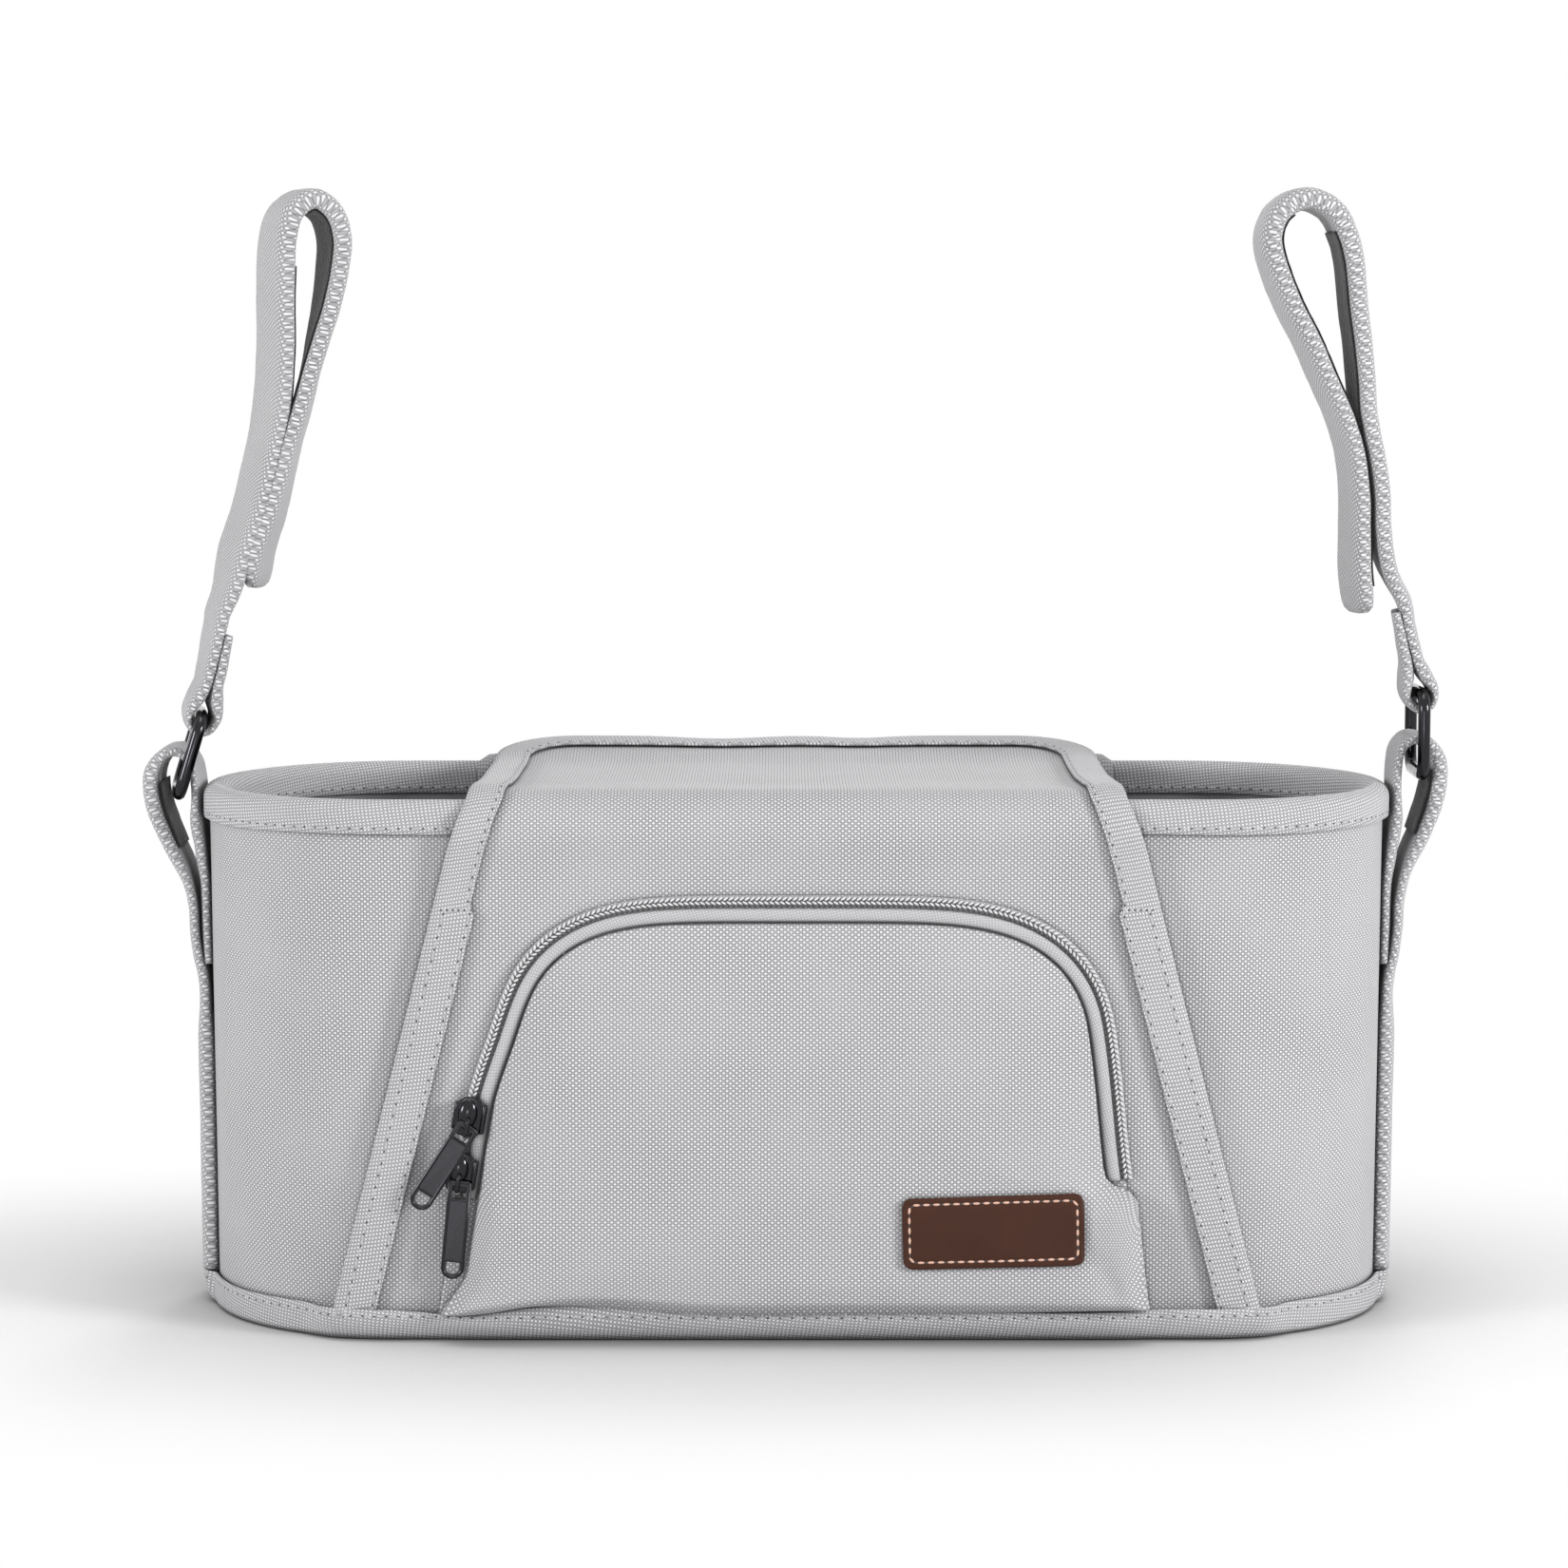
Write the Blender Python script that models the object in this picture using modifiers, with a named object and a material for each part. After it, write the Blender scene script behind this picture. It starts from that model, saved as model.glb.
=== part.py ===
# Stroller organizer: an open padded fabric bag with a lid, a zipped front pocket and two hanging straps.
# X runs along the bag, +Y to its rear, +Z up. The origin is the middle of the base. Sizes are in millimetres
# and become metres through MM.

import math

import bmesh
import bpy
from mathutils import Matrix, Vector

MM = 0.001
GAP = 0.3

# Bag body
BODY_LENGTH = 356.0
BASE_TAPER = 3.0
BODY_DEPTH = 130.0
BODY_HEIGHT = 158.5
END_ROUND = 57.5
FABRIC = 1.0
PADDING = 2.4
LINING = 0.8
BOARD = 3.0

# Tapes round the rim and the base
RIM_TAPE = 1.0
RIM_TAPE_HEIGHT = 10.0
BASE_TAPE = 1.2
BASE_TAPE_HEIGHT = 9.5
BASE_TAPE_RETURN = 4.0

# Inner walls
DIVIDER_PLACE = 92.0
DIVIDER_THICKNESS = 4.0
DIVIDER_DROP = 16.0

# Lid, its tape and the band it closes on
LID_THICKNESS = 1.6
LID_TAPE = 0.9
LID_TAPE_WIDTH = 10.5
LID_BASE_WIDTH = 270.0
LID_RIM_WIDTH = 193.0
LID_CORNER = 24.0
LID_OVERHANG = 5.0
BAND_TAPE = 1.2
BAND_LENGTH = 197.0
BAND_DROP_INSIDE = 14.0
BAND_DROP_OUTSIDE = 22.0

# Front pocket and its zip
POCKET_BASE_WIDTH = 197.0
POCKET_SHOULDER_WIDTH = 169.5
POCKET_TOP_DROP = 35.5
POCKET_ARCH = 31.0
POCKET_FABRIC = 1.2
POCKET_EDGE_LIFT = 2.6
POCKET_BULGE_TOP = 7.0
POCKET_BULGE_BASE = 13.5
TAPE_THICKNESS = 0.5
INNER_TAPE_WIDTH = 4.6
OUTER_TAPE_WIDTH = 9.0
COIL_WIDTH = 3.3
COIL_HEIGHT = 1.8
ZIP_END_LEFT = 42.0
ZIP_END_RIGHT = 47.0
GUSSET_WIDTH = 8.0
SLIDER_LENGTH = 11.5
SLIDER_WIDTH = 9.0
SLIDER_PLATE = 1.0
UPPER_SLIDER_HEIGHT = 65.4
LOWER_SLIDER_HEIGHT = 49.0
BAIL_WIRE = 1.3
BAIL_RISE = 2.2
BAIL_TOP = 0.4
BAIL_BOTTOM = -5.6
BAIL_ROUND = 0.3
PULL_SEAT = 1.65
PULL_LENGTH = 29.0
PULL_WIDTH = 6.8
PULL_THICKNESS = 1.3
PULL_ARM = 1.4
UPPER_PULL_SKEW = 23.5
UPPER_PULL_SHIFT = 0.3
LOWER_PULL_SKEW = -4.0
LOWER_PULL_SHIFT = 0.6

# Leather label
LABEL_LENGTH = 53.0
LABEL_HEIGHT = 21.0
LABEL_THICKNESS = 1.4
LABEL_CORNER = 3.0
LABEL_INSET = 41.5
LABEL_RISE = 34.5
LABEL_TURN = -1.2

# Strap anchors, rings and hanging straps
STRAP_WIDTH = 25.0
STRAP_THICKNESS = 4.0
TOUCH_TAPE = 0.7
TOUCH_TAPE_WIDTH = 21.0
ANCHOR_WIDTH = 25.0
RING_WIRE = 3.8
RING_INNER_WIDTH = 27.0
RING_HEIGHT = 24.2
RING_CORNER = 5.0
RING_PLACE = {-1: (9.8, -3.5), 1: (10.65, 2.5)}
RING_LEAN = {-1: 17.0, 1: 0.0}
RING_YAW = {-1: 8.0, 1: 0.0}
EYE_LEAN = 13.0
EYE_HALF = 3.4
EYE_FABRIC = 2.4

# The anchor's middle line: distance out from the wall, height above the rim, thickness
ANCHOR_PATH = {
    1: [(3.4, -36.5, 3.6), (7.2, -24.5, 3.0), (11.6, -14.5, 2.8), (14.9, -5.5, 3.6), (15.9, 1.0, 3.8),
        (15.2, 7.0, 3.6), (12.0, 11.8, 3.2), (7.9, 12.5, 2.8), (4.6, 9.0, 2.8), (3.3, 2.5, 2.8),
        (3.0, -6.5, 2.8), (2.7, -12.5, 2.8), (1.8, -20.5, 2.8), (1.7, -28.5, 2.8)],
    -1: [(3.4, -38.5, 3.6), (7.2, -27.5, 3.0), (11.6, -17.5, 2.8), (15.3, -8.5, 2.8), (16.6, -2.0, 2.8),
         (15.8, 4.0, 2.8), (12.4, 8.2, 2.8), (8.3, 8.6, 2.8), (4.9, 5.4, 2.8), (3.4, -0.5, 2.8),
         (3.0, -8.5, 2.8), (2.7, -13.5, 2.8), (1.8, -20.5, 2.8), (1.7, -28.5, 2.8)],
}
ANCHOR_SEAM_DROP = 50.5

# The strap's middle line from its free end to its ring: distance out from the ring's top bar, height above it
STRAP_PATH = {
    1: [(-17.9, 24.3), (-19.5, 36.8), (-20.0, 48.8), (-20.6, 59.8), (-22.2, 71.3), (-25.7, 82.8),
        (-30.9, 94.3), (-35.3, 105.8), (-40.3, 116.8), (-44.5, 128.4), (-46.1, 136.8), (-43.4, 143.8),
        (-36.4, 147.4), (-28.9, 144.3), (-24.7, 136.8), (-22.7, 128.4), (-21.5, 116.8), (-19.9, 105.8),
        (-18.7, 94.3), (-17.8, 82.8), (-15.5, 71.3), (-13.9, 59.8), (-13.2, 48.8), (-10.0, 37.3)],
    -1: [(-16.6, 38.9), (-18.6, 49.9), (-22.4, 60.9), (-25.55, 72.6), (-28.3, 83.9), (-31.9, 95.9),
         (-35.7, 111.9), (-38.7, 123.9), (-40.6, 135.5), (-41.0, 143.9), (-38.7, 150.9), (-33.3, 154.5),
         (-27.7, 150.9), (-25.4, 143.9), (-24.7, 135.5), (-24.3, 123.9), (-24.1, 111.9), (-22.9, 95.9),
         (-21.0, 83.9), (-18.3, 72.6), (-15.2, 60.9), (-11.3, 49.9), (-8.7, 38.9), (-5.6, 31.5)],
}

HALF_LENGTH = BODY_LENGTH / 2
HALF_BASE = (BODY_LENGTH - BASE_TAPER) / 2
HALF_DEPTH = BODY_DEPTH / 2
WALL = FABRIC + GAP + PADDING + GAP + LINING
RIM_LIFT = GAP + RIM_TAPE
RIM_ROUND = WALL / 2 + RIM_LIFT
WALL_TOP = BODY_HEIGHT - RIM_ROUND + math.sqrt((RIM_ROUND - RIM_TAPE) ** 2 - (WALL / 2) ** 2) - 2 * GAP
FLOOR_TOP = BASE_TAPE + GAP + BOARD + GAP + LINING
POCKET_TOP = BODY_HEIGHT - POCKET_TOP_DROP
POCKET_SHOULDER = POCKET_TOP - POCKET_ARCH
LID_LIFT = GAP + LID_TAPE + GAP + LID_THICKNESS
LID_FRONT = HALF_DEPTH + LID_LIFT

END_STEPS = 8
SIDE_STEPS = 10
HALF_STEPS = 2 * END_STEPS + SIDE_STEPS
LOOP_STEPS = 2 * HALF_STEPS

FINISHES = {
    "woven_fabric": ((0.52, 0.51, 0.52), 0.9, 0.0),
    "fabric_tape": ((0.46, 0.45, 0.46), 0.9, 0.0),
    "foam": ((0.8, 0.8, 0.78), 0.95, 0.0),
    "satin_lining": ((0.4, 0.39, 0.41), 0.5, 0.0),
    "stiff_board": ((0.1, 0.1, 0.1), 0.7, 0.0),
    "touch_tape": ((0.01, 0.01, 0.01), 0.85, 0.0),
    "zip_tape": ((0.5, 0.49, 0.5), 0.8, 0.0),
    "black_nickel": ((0.08, 0.08, 0.09), 0.2, 1.0),
    "leather": ((0.08, 0.035, 0.027), 0.6, 0.0),
}


def clear_scene():
    for obj in list(bpy.data.objects):
        bpy.data.objects.remove(obj, do_unlink=True)


def new_collection(name):
    collection = bpy.data.collections.new(name)
    bpy.context.scene.collection.children.link(collection)
    return collection


def finish(name):
    """Return the named finish as a Principled material."""
    material = bpy.data.materials.get(name)
    if material:
        return material
    colour, roughness, metallic = FINISHES[name]
    material = bpy.data.materials.new(name)
    material.use_nodes = True
    shader = material.node_tree.nodes["Principled BSDF"]
    shader.inputs["Base Color"].default_value = (*colour, 1.0)
    shader.inputs["Roughness"].default_value = roughness
    shader.inputs["Metallic"].default_value = metallic
    return material


def add_object(name, data, material):
    obj = bpy.data.objects.new(name, data)
    data.materials.append(finish(material))
    PARTS.objects.link(obj)
    return obj


def mesh_object(name, bm, material):
    """Close the book on a bmesh: normals out, metres, one object."""
    bmesh.ops.recalc_face_normals(bm, faces=bm.faces)
    bmesh.ops.scale(bm, vec=(MM, MM, MM), verts=bm.verts)
    mesh = bpy.data.meshes.new(name)
    bm.to_mesh(mesh)
    bm.free()
    obj = add_object(name, mesh, material)
    mesh.shade_smooth()
    mesh.set_sharp_from_angle(angle=math.radians(35))
    return obj


def grid(across, up, place):
    """A grid whose corners run from 0 to 1 both ways, laid where place(u, v) says."""
    bm = bmesh.new()
    bmesh.ops.create_grid(bm, x_segments=across, y_segments=up, size=0.5)
    for vert in bm.verts:
        vert.co = place(vert.co.x + 0.5, vert.co.y + 0.5)
    return bm


def thicken(obj, thickness):
    solid = obj.modifiers.new("Thickness", "SOLIDIFY")
    solid.thickness = thickness * MM
    solid.offset = -1.0
    solid.use_even_offset = True
    return obj


def sheet(name, across, up, place, thickness, material):
    """A curved sheet: place gives its outer side, and the thickness goes inwards."""
    bm = grid(across, up, place)
    bmesh.ops.remove_doubles(bm, verts=bm.verts, dist=0.001)
    bmesh.ops.scale(bm, vec=(MM, MM, MM), verts=bm.verts)
    mesh = bpy.data.meshes.new(name)
    bm.to_mesh(mesh)
    bm.free()
    obj = add_object(name, mesh, material)
    mesh.shade_smooth()
    return thicken(obj, thickness)


def flat_outline(name, outlines, thickness, material):
    """A flat piece cut to its outlines, standing in its own XY plane, with its thickness along Z."""
    curve = bpy.data.curves.new(name, "CURVE")
    curve.dimensions = "2D"
    curve.fill_mode = "BOTH"
    curve.extrude = thickness * MM / 2
    for outline in outlines:
        spline = curve.splines.new("POLY")
        spline.points.add(len(outline) - 1)
        spline.use_cyclic_u = True
        for point, (x, y) in zip(spline.points, outline):
            point.co = (x * MM, y * MM, 0.0, 1.0)
    return add_object(name, curve, material)


def arc(cx, cy, radius, start, end, steps):
    """Points on an arc, its angles in degrees."""
    points = []
    for step in range(steps + 1):
        angle = math.radians(start + (end - start) * step / steps)
        points.append((cx + radius * math.cos(angle), cy + radius * math.sin(angle)))
    return points


def rounded_rectangle(width, height, corner, steps, cx=0.0, cy=0.0):
    x = width / 2 - corner
    y = height / 2 - corner
    points = []
    for sx, sy, start in ((1, 1, 0), (-1, 1, 90), (-1, -1, 180), (1, -1, 270)):
        points += arc(cx + sx * x, cy + sy * y, corner, start, start + 90, steps)
    return points


def smooth_path(points, steps):
    """A Catmull-Rom curve through the points, each a tuple of numbers, with steps to a span."""
    padded = [points[0]] + list(points) + [points[-1]]
    result = []
    for i in range(1, len(padded) - 2):
        before, start, end, after = padded[i - 1:i + 3]
        for step in range(steps):
            t = step / steps
            result.append(tuple(
                0.5 * (2 * b + (c - a) * t + (2 * a - 5 * b + 4 * c - d) * t * t
                       + (3 * b - a - 3 * c + d) * t ** 3)
                for a, b, c, d in zip(before, start, end, after)))
    result.append(points[-1])
    return result


# Plan of the bag: a long oval with straight sides and elliptical ends

def half_length(z):
    return HALF_BASE + (HALF_LENGTH - HALF_BASE) * z / BODY_HEIGHT


def plan_point(index, z, out):
    """A point on the bag's outline, counted from the left end past the front, and moved out."""
    straight = half_length(z) - END_ROUND
    across = END_ROUND + out
    deep = HALF_DEPTH + out
    half, step = divmod(index % LOOP_STEPS, HALF_STEPS)
    turn = -1 if half == 0 else 1
    if step < END_STEPS:
        angle = math.pi / 2 * step / END_STEPS
        x = -straight - across * math.cos(angle)
        y = deep * math.sin(angle)
    elif step <= END_STEPS + SIDE_STEPS:
        x = -straight + 2 * straight * (step - END_STEPS) / SIDE_STEPS
        y = deep
    else:
        angle = math.pi / 2 * (HALF_STEPS - step) / END_STEPS
        x = straight + across * math.cos(angle)
        y = deep * math.sin(angle)
    return Vector((-turn * x, turn * y, z))


def wall_band(name, section, material, first=0, last=LOOP_STEPS, seam=0.0, filled=False):
    """Carry a section of (out, z) points round the plan. A filled one is a cup or a plate."""
    whole = last - first == LOOP_STEPS
    corners = list(section) if filled else list(section) + [section[0]]

    def place(u, v):
        out, z = corners[round(v * (len(corners) - 1))]
        point = plan_point(first + round(u * (last - first)), z, out)
        if not whole:
            side = -1 if first == 0 else 1
            point.y = side * max(side * point.y, seam / 2)
        return point

    bm = grid(last - first, len(corners) - 1, place)
    bmesh.ops.remove_doubles(bm, verts=bm.verts, dist=0.001)
    open_edges = [edge for edge in bm.edges if edge.is_boundary]
    if open_edges:
        bmesh.ops.holes_fill(bm, edges=open_edges)
    return mesh_object(name, bm, material)


def folded_section(outer, inner, top, low_outer, low_inner, tape, steps=4):
    """A tape folded over an edge: an upturned U between two outer faces, with a round top."""
    middle = (outer + inner) / 2
    radius = (outer - inner) / 2
    outside = arc(middle, top - radius, radius, 0, 180, steps)
    inside = arc(middle, top - radius, radius - tape, 180, 0, steps)
    return ([(outer, low_outer)] + outside + [(inner, low_inner), (inner + tape, low_inner)] + inside
            + [(outer - tape, low_outer)])


def make_body():
    """The outer fabric in two halves, its padding and the lining."""
    low = BASE_TAPE + GAP
    padding_out = -FABRIC - GAP
    lining_out = padding_out - PADDING - GAP
    halves = (("front", 0, HALF_STEPS), ("rear", HALF_STEPS, LOOP_STEPS))
    for side, first, last in halves:
        fabric = [(0, low), (0, WALL_TOP), (-FABRIC, WALL_TOP), (-FABRIC, low)]
        wall_band(side + "_panel", fabric, "woven_fabric", first, last, seam=GAP)
        foam = [(padding_out, low), (padding_out, WALL_TOP), (padding_out - PADDING, WALL_TOP),
                (padding_out - PADDING, low)]
        wall_band(side + "_padding", foam, "foam", first, last, seam=GAP)
    floor = FLOOR_TOP - LINING
    cup = [(lining_out, floor), (lining_out, WALL_TOP), (lining_out - LINING, WALL_TOP),
           (lining_out - LINING, FLOOR_TOP)]
    wall_band("lining", cup, "satin_lining", filled=True)
    board_out = lining_out
    wall_band("base_board", [(board_out, low), (board_out, low + BOARD)], "stiff_board", filled=True)
    base_out = RIM_LIFT - BASE_TAPE_RETURN - GAP
    wall_band("base_panel", [(base_out, 0), (base_out, BASE_TAPE)], "woven_fabric", filled=True)


def make_tapes():
    """The tape over the rim, and the one that turns under the base."""
    outer = GAP + RIM_TAPE
    inner = -WALL - GAP - RIM_TAPE
    low = BODY_HEIGHT - RIM_TAPE_HEIGHT
    section = folded_section(outer, inner, BODY_HEIGHT, low, low, RIM_TAPE)
    wall_band("rim_binding", section, "fabric_tape")
    face = GAP + BASE_TAPE
    inside = face - BASE_TAPE
    turned = RIM_LIFT - BASE_TAPE_RETURN
    section = [(face, BASE_TAPE_HEIGHT), (inside, BASE_TAPE_HEIGHT), (inside, BASE_TAPE), (turned, BASE_TAPE),
               (turned, 0), (face - 0.8, 0), (face - 0.2, 0.4), (face, 1.0)]
    wall_band("base_binding", section, "fabric_tape")


def make_dividers():
    """Two padded inner walls that part the cup bays from the middle bay."""
    depth = 2 * (HALF_DEPTH - WALL - GAP)
    low = FLOOR_TOP + GAP
    high = BODY_HEIGHT - DIVIDER_DROP
    for name, side in (("left_divider", -1), ("right_divider", 1)):
        bm = bmesh.new()
        bmesh.ops.create_cube(bm, size=1.0)
        bmesh.ops.scale(bm, vec=(DIVIDER_THICKNESS, depth, high - low), verts=bm.verts)
        bmesh.ops.translate(bm, vec=(side * DIVIDER_PLACE, 0, (low + high) / 2), verts=bm.verts)
        obj = mesh_object(name, bm, "satin_lining")
        edge = obj.modifiers.new("Soft edges", "BEVEL")
        edge.width = 1.2 * MM
        edge.segments = 2


# The lid is flat across and bent along a path of (y, z) points: up the front, over the top, to the rear

def lid_profile():
    front = -LID_FRONT
    step = front - RIM_LIFT
    top = BODY_HEIGHT + LID_LIFT
    rear = HALF_DEPTH
    rim = BODY_HEIGHT - RIM_TAPE_HEIGHT
    return [(front, BASE_TAPE_HEIGHT + GAP), (front, POCKET_SHOULDER), (front, rim - 8.0),
            (step, rim - 1.5), (step, BODY_HEIGHT - 3), (step + 1.0, top - 2.7), (step + 3.0, top - 0.8),
            (step + 6.5, top), (step + 20, top - 0.6), (step + 52, top - 1.8), (rear - 40, top - 1.6),
            (rear - 20, top - 1.2), (rear + LID_OVERHANG, top + 2.8)]


def path_lengths(profile):
    lengths = [0.0]
    for start, end in zip(profile, profile[1:]):
        lengths.append(lengths[-1] + math.dist(start, end))
    return lengths


def lid_point(x, s, lift):
    """The point at x and at length s along the lid's outer side, lifted off it."""
    s = min(max(s, 0.0), LID_LENGTH)
    index = 0
    while index < len(LID_PATH) - 2 and s > LID_STATIONS[index + 1]:
        index += 1
    t = (s - LID_STATIONS[index]) / (LID_STATIONS[index + 1] - LID_STATIONS[index])

    def normal(i):
        before = LID_PATH[max(i - 1, 0)]
        after = LID_PATH[min(i + 1, len(LID_PATH) - 1)]
        along = Vector((after[0] - before[0], after[1] - before[1])).normalized()
        return Vector((-along.y, along.x))

    start = Vector(LID_PATH[index]) + normal(index) * lift
    end = Vector(LID_PATH[index + 1]) + normal(index + 1) * lift
    y, z = start.lerp(end, t)
    return Vector((x, y, z))


def lid_half_width(s):
    """Half the lid's width: it tapers to the rim, runs straight over the top and rounds off."""
    rise = min(s / LID_STATIONS[5], 1.0)
    half = (LID_BASE_WIDTH + (LID_RIM_WIDTH - LID_BASE_WIDTH) * rise) / 2
    corner = s - (LID_LENGTH - LID_CORNER)
    if corner > 0:
        half -= LID_CORNER - math.sqrt(max(LID_CORNER ** 2 - corner ** 2, 0.0))
    return half


def lid_rows():
    """Lengths along the lid where its bends and its round corners need an edge."""
    rows = [s for s in LID_STATIONS if s < LID_LENGTH - LID_CORNER]
    for step in range(7):
        rows.append(LID_LENGTH - LID_CORNER * (1 - math.sin(math.pi / 2 * step / 6)))
    return rows


def lid_edge():
    """The lid's edge as (x, s) points, from the left foot round the rear to the right foot."""
    left = [(-lid_half_width(s), s) for s in lid_rows()]
    right = [(-x, s) for x, s in reversed(left)]
    return left + right


def make_lid():
    rows = lid_rows()

    def place(u, v):
        s = rows[round(v * (len(rows) - 1))]
        half = lid_half_width(s)
        return lid_point((2 * u - 1) * half, s, 0.0)

    sheet("lid_panel", 8, len(rows) - 1, place, LID_THICKNESS, "woven_fabric")

    edge = lid_edge()
    over = GAP + LID_TAPE
    under = -LID_THICKNESS - GAP - LID_TAPE
    round_off = 0.5
    legs = [-LID_TAPE_WIDTH, -0.66 * LID_TAPE_WIDTH, -0.33 * LID_TAPE_WIDTH, round_off]
    section = [(out, over) for out in legs] + [(over, round_off), (over, -LID_THICKNESS - round_off)]
    section += [(out, under) for out in reversed(legs)]

    def tape(u, v):
        x, s = edge[round(u * (len(edge) - 1))]
        out, lift = section[round(v * (len(section) - 1))]
        away = Vector((math.copysign(1, x), 0))
        corner = Vector((x - away.x * (LID_RIM_WIDTH / 2 - LID_CORNER), s - LID_LENGTH + LID_CORNER))
        if corner.y > 0:
            away = corner.normalized()
        moved = Vector((x, s)) + away * out
        point = lid_point(moved.x, moved.y, lift)
        point.y += max(moved.y - LID_LENGTH, 0.0)
        return point

    sheet("lid_binding", len(edge) - 1, len(section) - 1, tape, LID_TAPE, "fabric_tape")


def make_rear_band():
    """The band folded over the rear rim, which the lid closes on."""
    outer = GAP + RIM_TAPE + GAP + BAND_TAPE
    inner = -WALL - outer
    top = BODY_HEIGHT + GAP + BAND_TAPE
    section = folded_section(outer, inner, top, top - BAND_DROP_OUTSIDE, top - BAND_DROP_INSIDE, BAND_TAPE)
    outline = [(HALF_DEPTH + out, z) for out, z in section]
    band = flat_outline("rear_closing_band", [outline], BAND_LENGTH, "woven_fabric")
    band.matrix_world = Matrix(((0, 0, 1, 0), (1, 0, 0, 0), (0, 1, 0, 0), (0, 0, 0, 1)))


# The front pocket stands on the lid's front side

def pocket_half_width(z):
    """Half the pocket's width: a slow taper, then a square-shouldered arch."""
    foot = BASE_TAPE_HEIGHT + GAP
    slope = (POCKET_BASE_WIDTH - POCKET_SHOULDER_WIDTH) / 2 / (POCKET_SHOULDER - foot)
    half = POCKET_BASE_WIDTH / 2 - slope * (z - foot)
    rise = (z - POCKET_SHOULDER) / (POCKET_TOP - POCKET_SHOULDER)
    if rise > 0:
        half *= max(1 - rise ** 2.2, 0.0) ** 0.2
    return half


def pocket_arch(left_end, right_end):
    """The arch's (x, z) points from its left end over the top to its right end."""
    rise = POCKET_TOP - POCKET_SHOULDER
    heights = [POCKET_SHOULDER + rise * (1 - (1 - step / 9) ** 2) for step in range(9)]
    heights += [POCKET_TOP - 0.35, POCKET_TOP - 0.08, POCKET_TOP - 0.01]
    left = [(-pocket_half_width(left_end), left_end)]
    left += [(-pocket_half_width(z), z) for z in heights if z > left_end]
    right = [(pocket_half_width(z), z) for z in reversed(heights) if z > right_end]
    right.append((pocket_half_width(right_end), right_end))
    return left + [(0.0, POCKET_TOP)] + right


def offset_line(points, out):
    """Move an open line of points to its left side by a distance."""
    moved = []
    for index, point in enumerate(points):
        before = Vector(points[max(index - 1, 0)])
        after = Vector(points[min(index + 1, len(points) - 1)])
        along = (after - before).normalized()
        moved.append((point[0] - along.y * out, point[1] + along.x * out))
    return moved


def on_front(x, z, lift):
    """A point over the lid's front side."""
    return Vector((x, -LID_FRONT - lift, z))


def pocket_bulge(z):
    foot = BASE_TAPE_HEIGHT + GAP
    share = (z - foot) / (POCKET_TOP - foot)
    return POCKET_BULGE_BASE + (POCKET_BULGE_TOP - POCKET_BULGE_BASE) * share


POCKET_RINGS = [(1.0, 0.0), (0.985, 0.16), (0.94, 0.5), (0.87, 0.78), (0.74, 0.94), (0.5, 1.0), (0.0, 1.0)]


def make_pocket():
    foot = BASE_TAPE_HEIGHT + GAP
    arch = pocket_arch(foot, foot)
    bottom = [(pocket_half_width(foot) * (1 - step / 5), foot) for step in range(1, 10)]
    outline = arch + bottom + [arch[0]]
    middle = (0.0, (foot + POCKET_SHOULDER) / 2)

    def place(u, v):
        x, z = outline[round(u * (len(outline) - 1))]
        share, rise = POCKET_RINGS[round(v * (len(POCKET_RINGS) - 1))]
        x = middle[0] + (x - middle[0]) * share
        z = middle[1] + (z - middle[1]) * share
        return on_front(x, z, POCKET_EDGE_LIFT + POCKET_FABRIC + rise * (pocket_bulge(z) - POCKET_EDGE_LIFT))

    pocket = sheet("pocket_front", len(outline) - 1, len(POCKET_RINGS) - 1, place, POCKET_FABRIC, "woven_fabric")
    pocket.modifiers["Thickness"].offset = 1.0


def strip_on_front(name, line, inner, outer, lift, thickness, material):
    """A flat strip that follows a line over the lid's front, between two distances out from it."""
    near = offset_line(line, inner)
    far = offset_line(line, outer)

    def place(u, v):
        x, z = (far if v < 0.5 else near)[round(u * (len(line) - 1))]
        return on_front(x, z, lift + thickness)

    return sheet(name, len(line) - 1, 1, place, -thickness, material)


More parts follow.
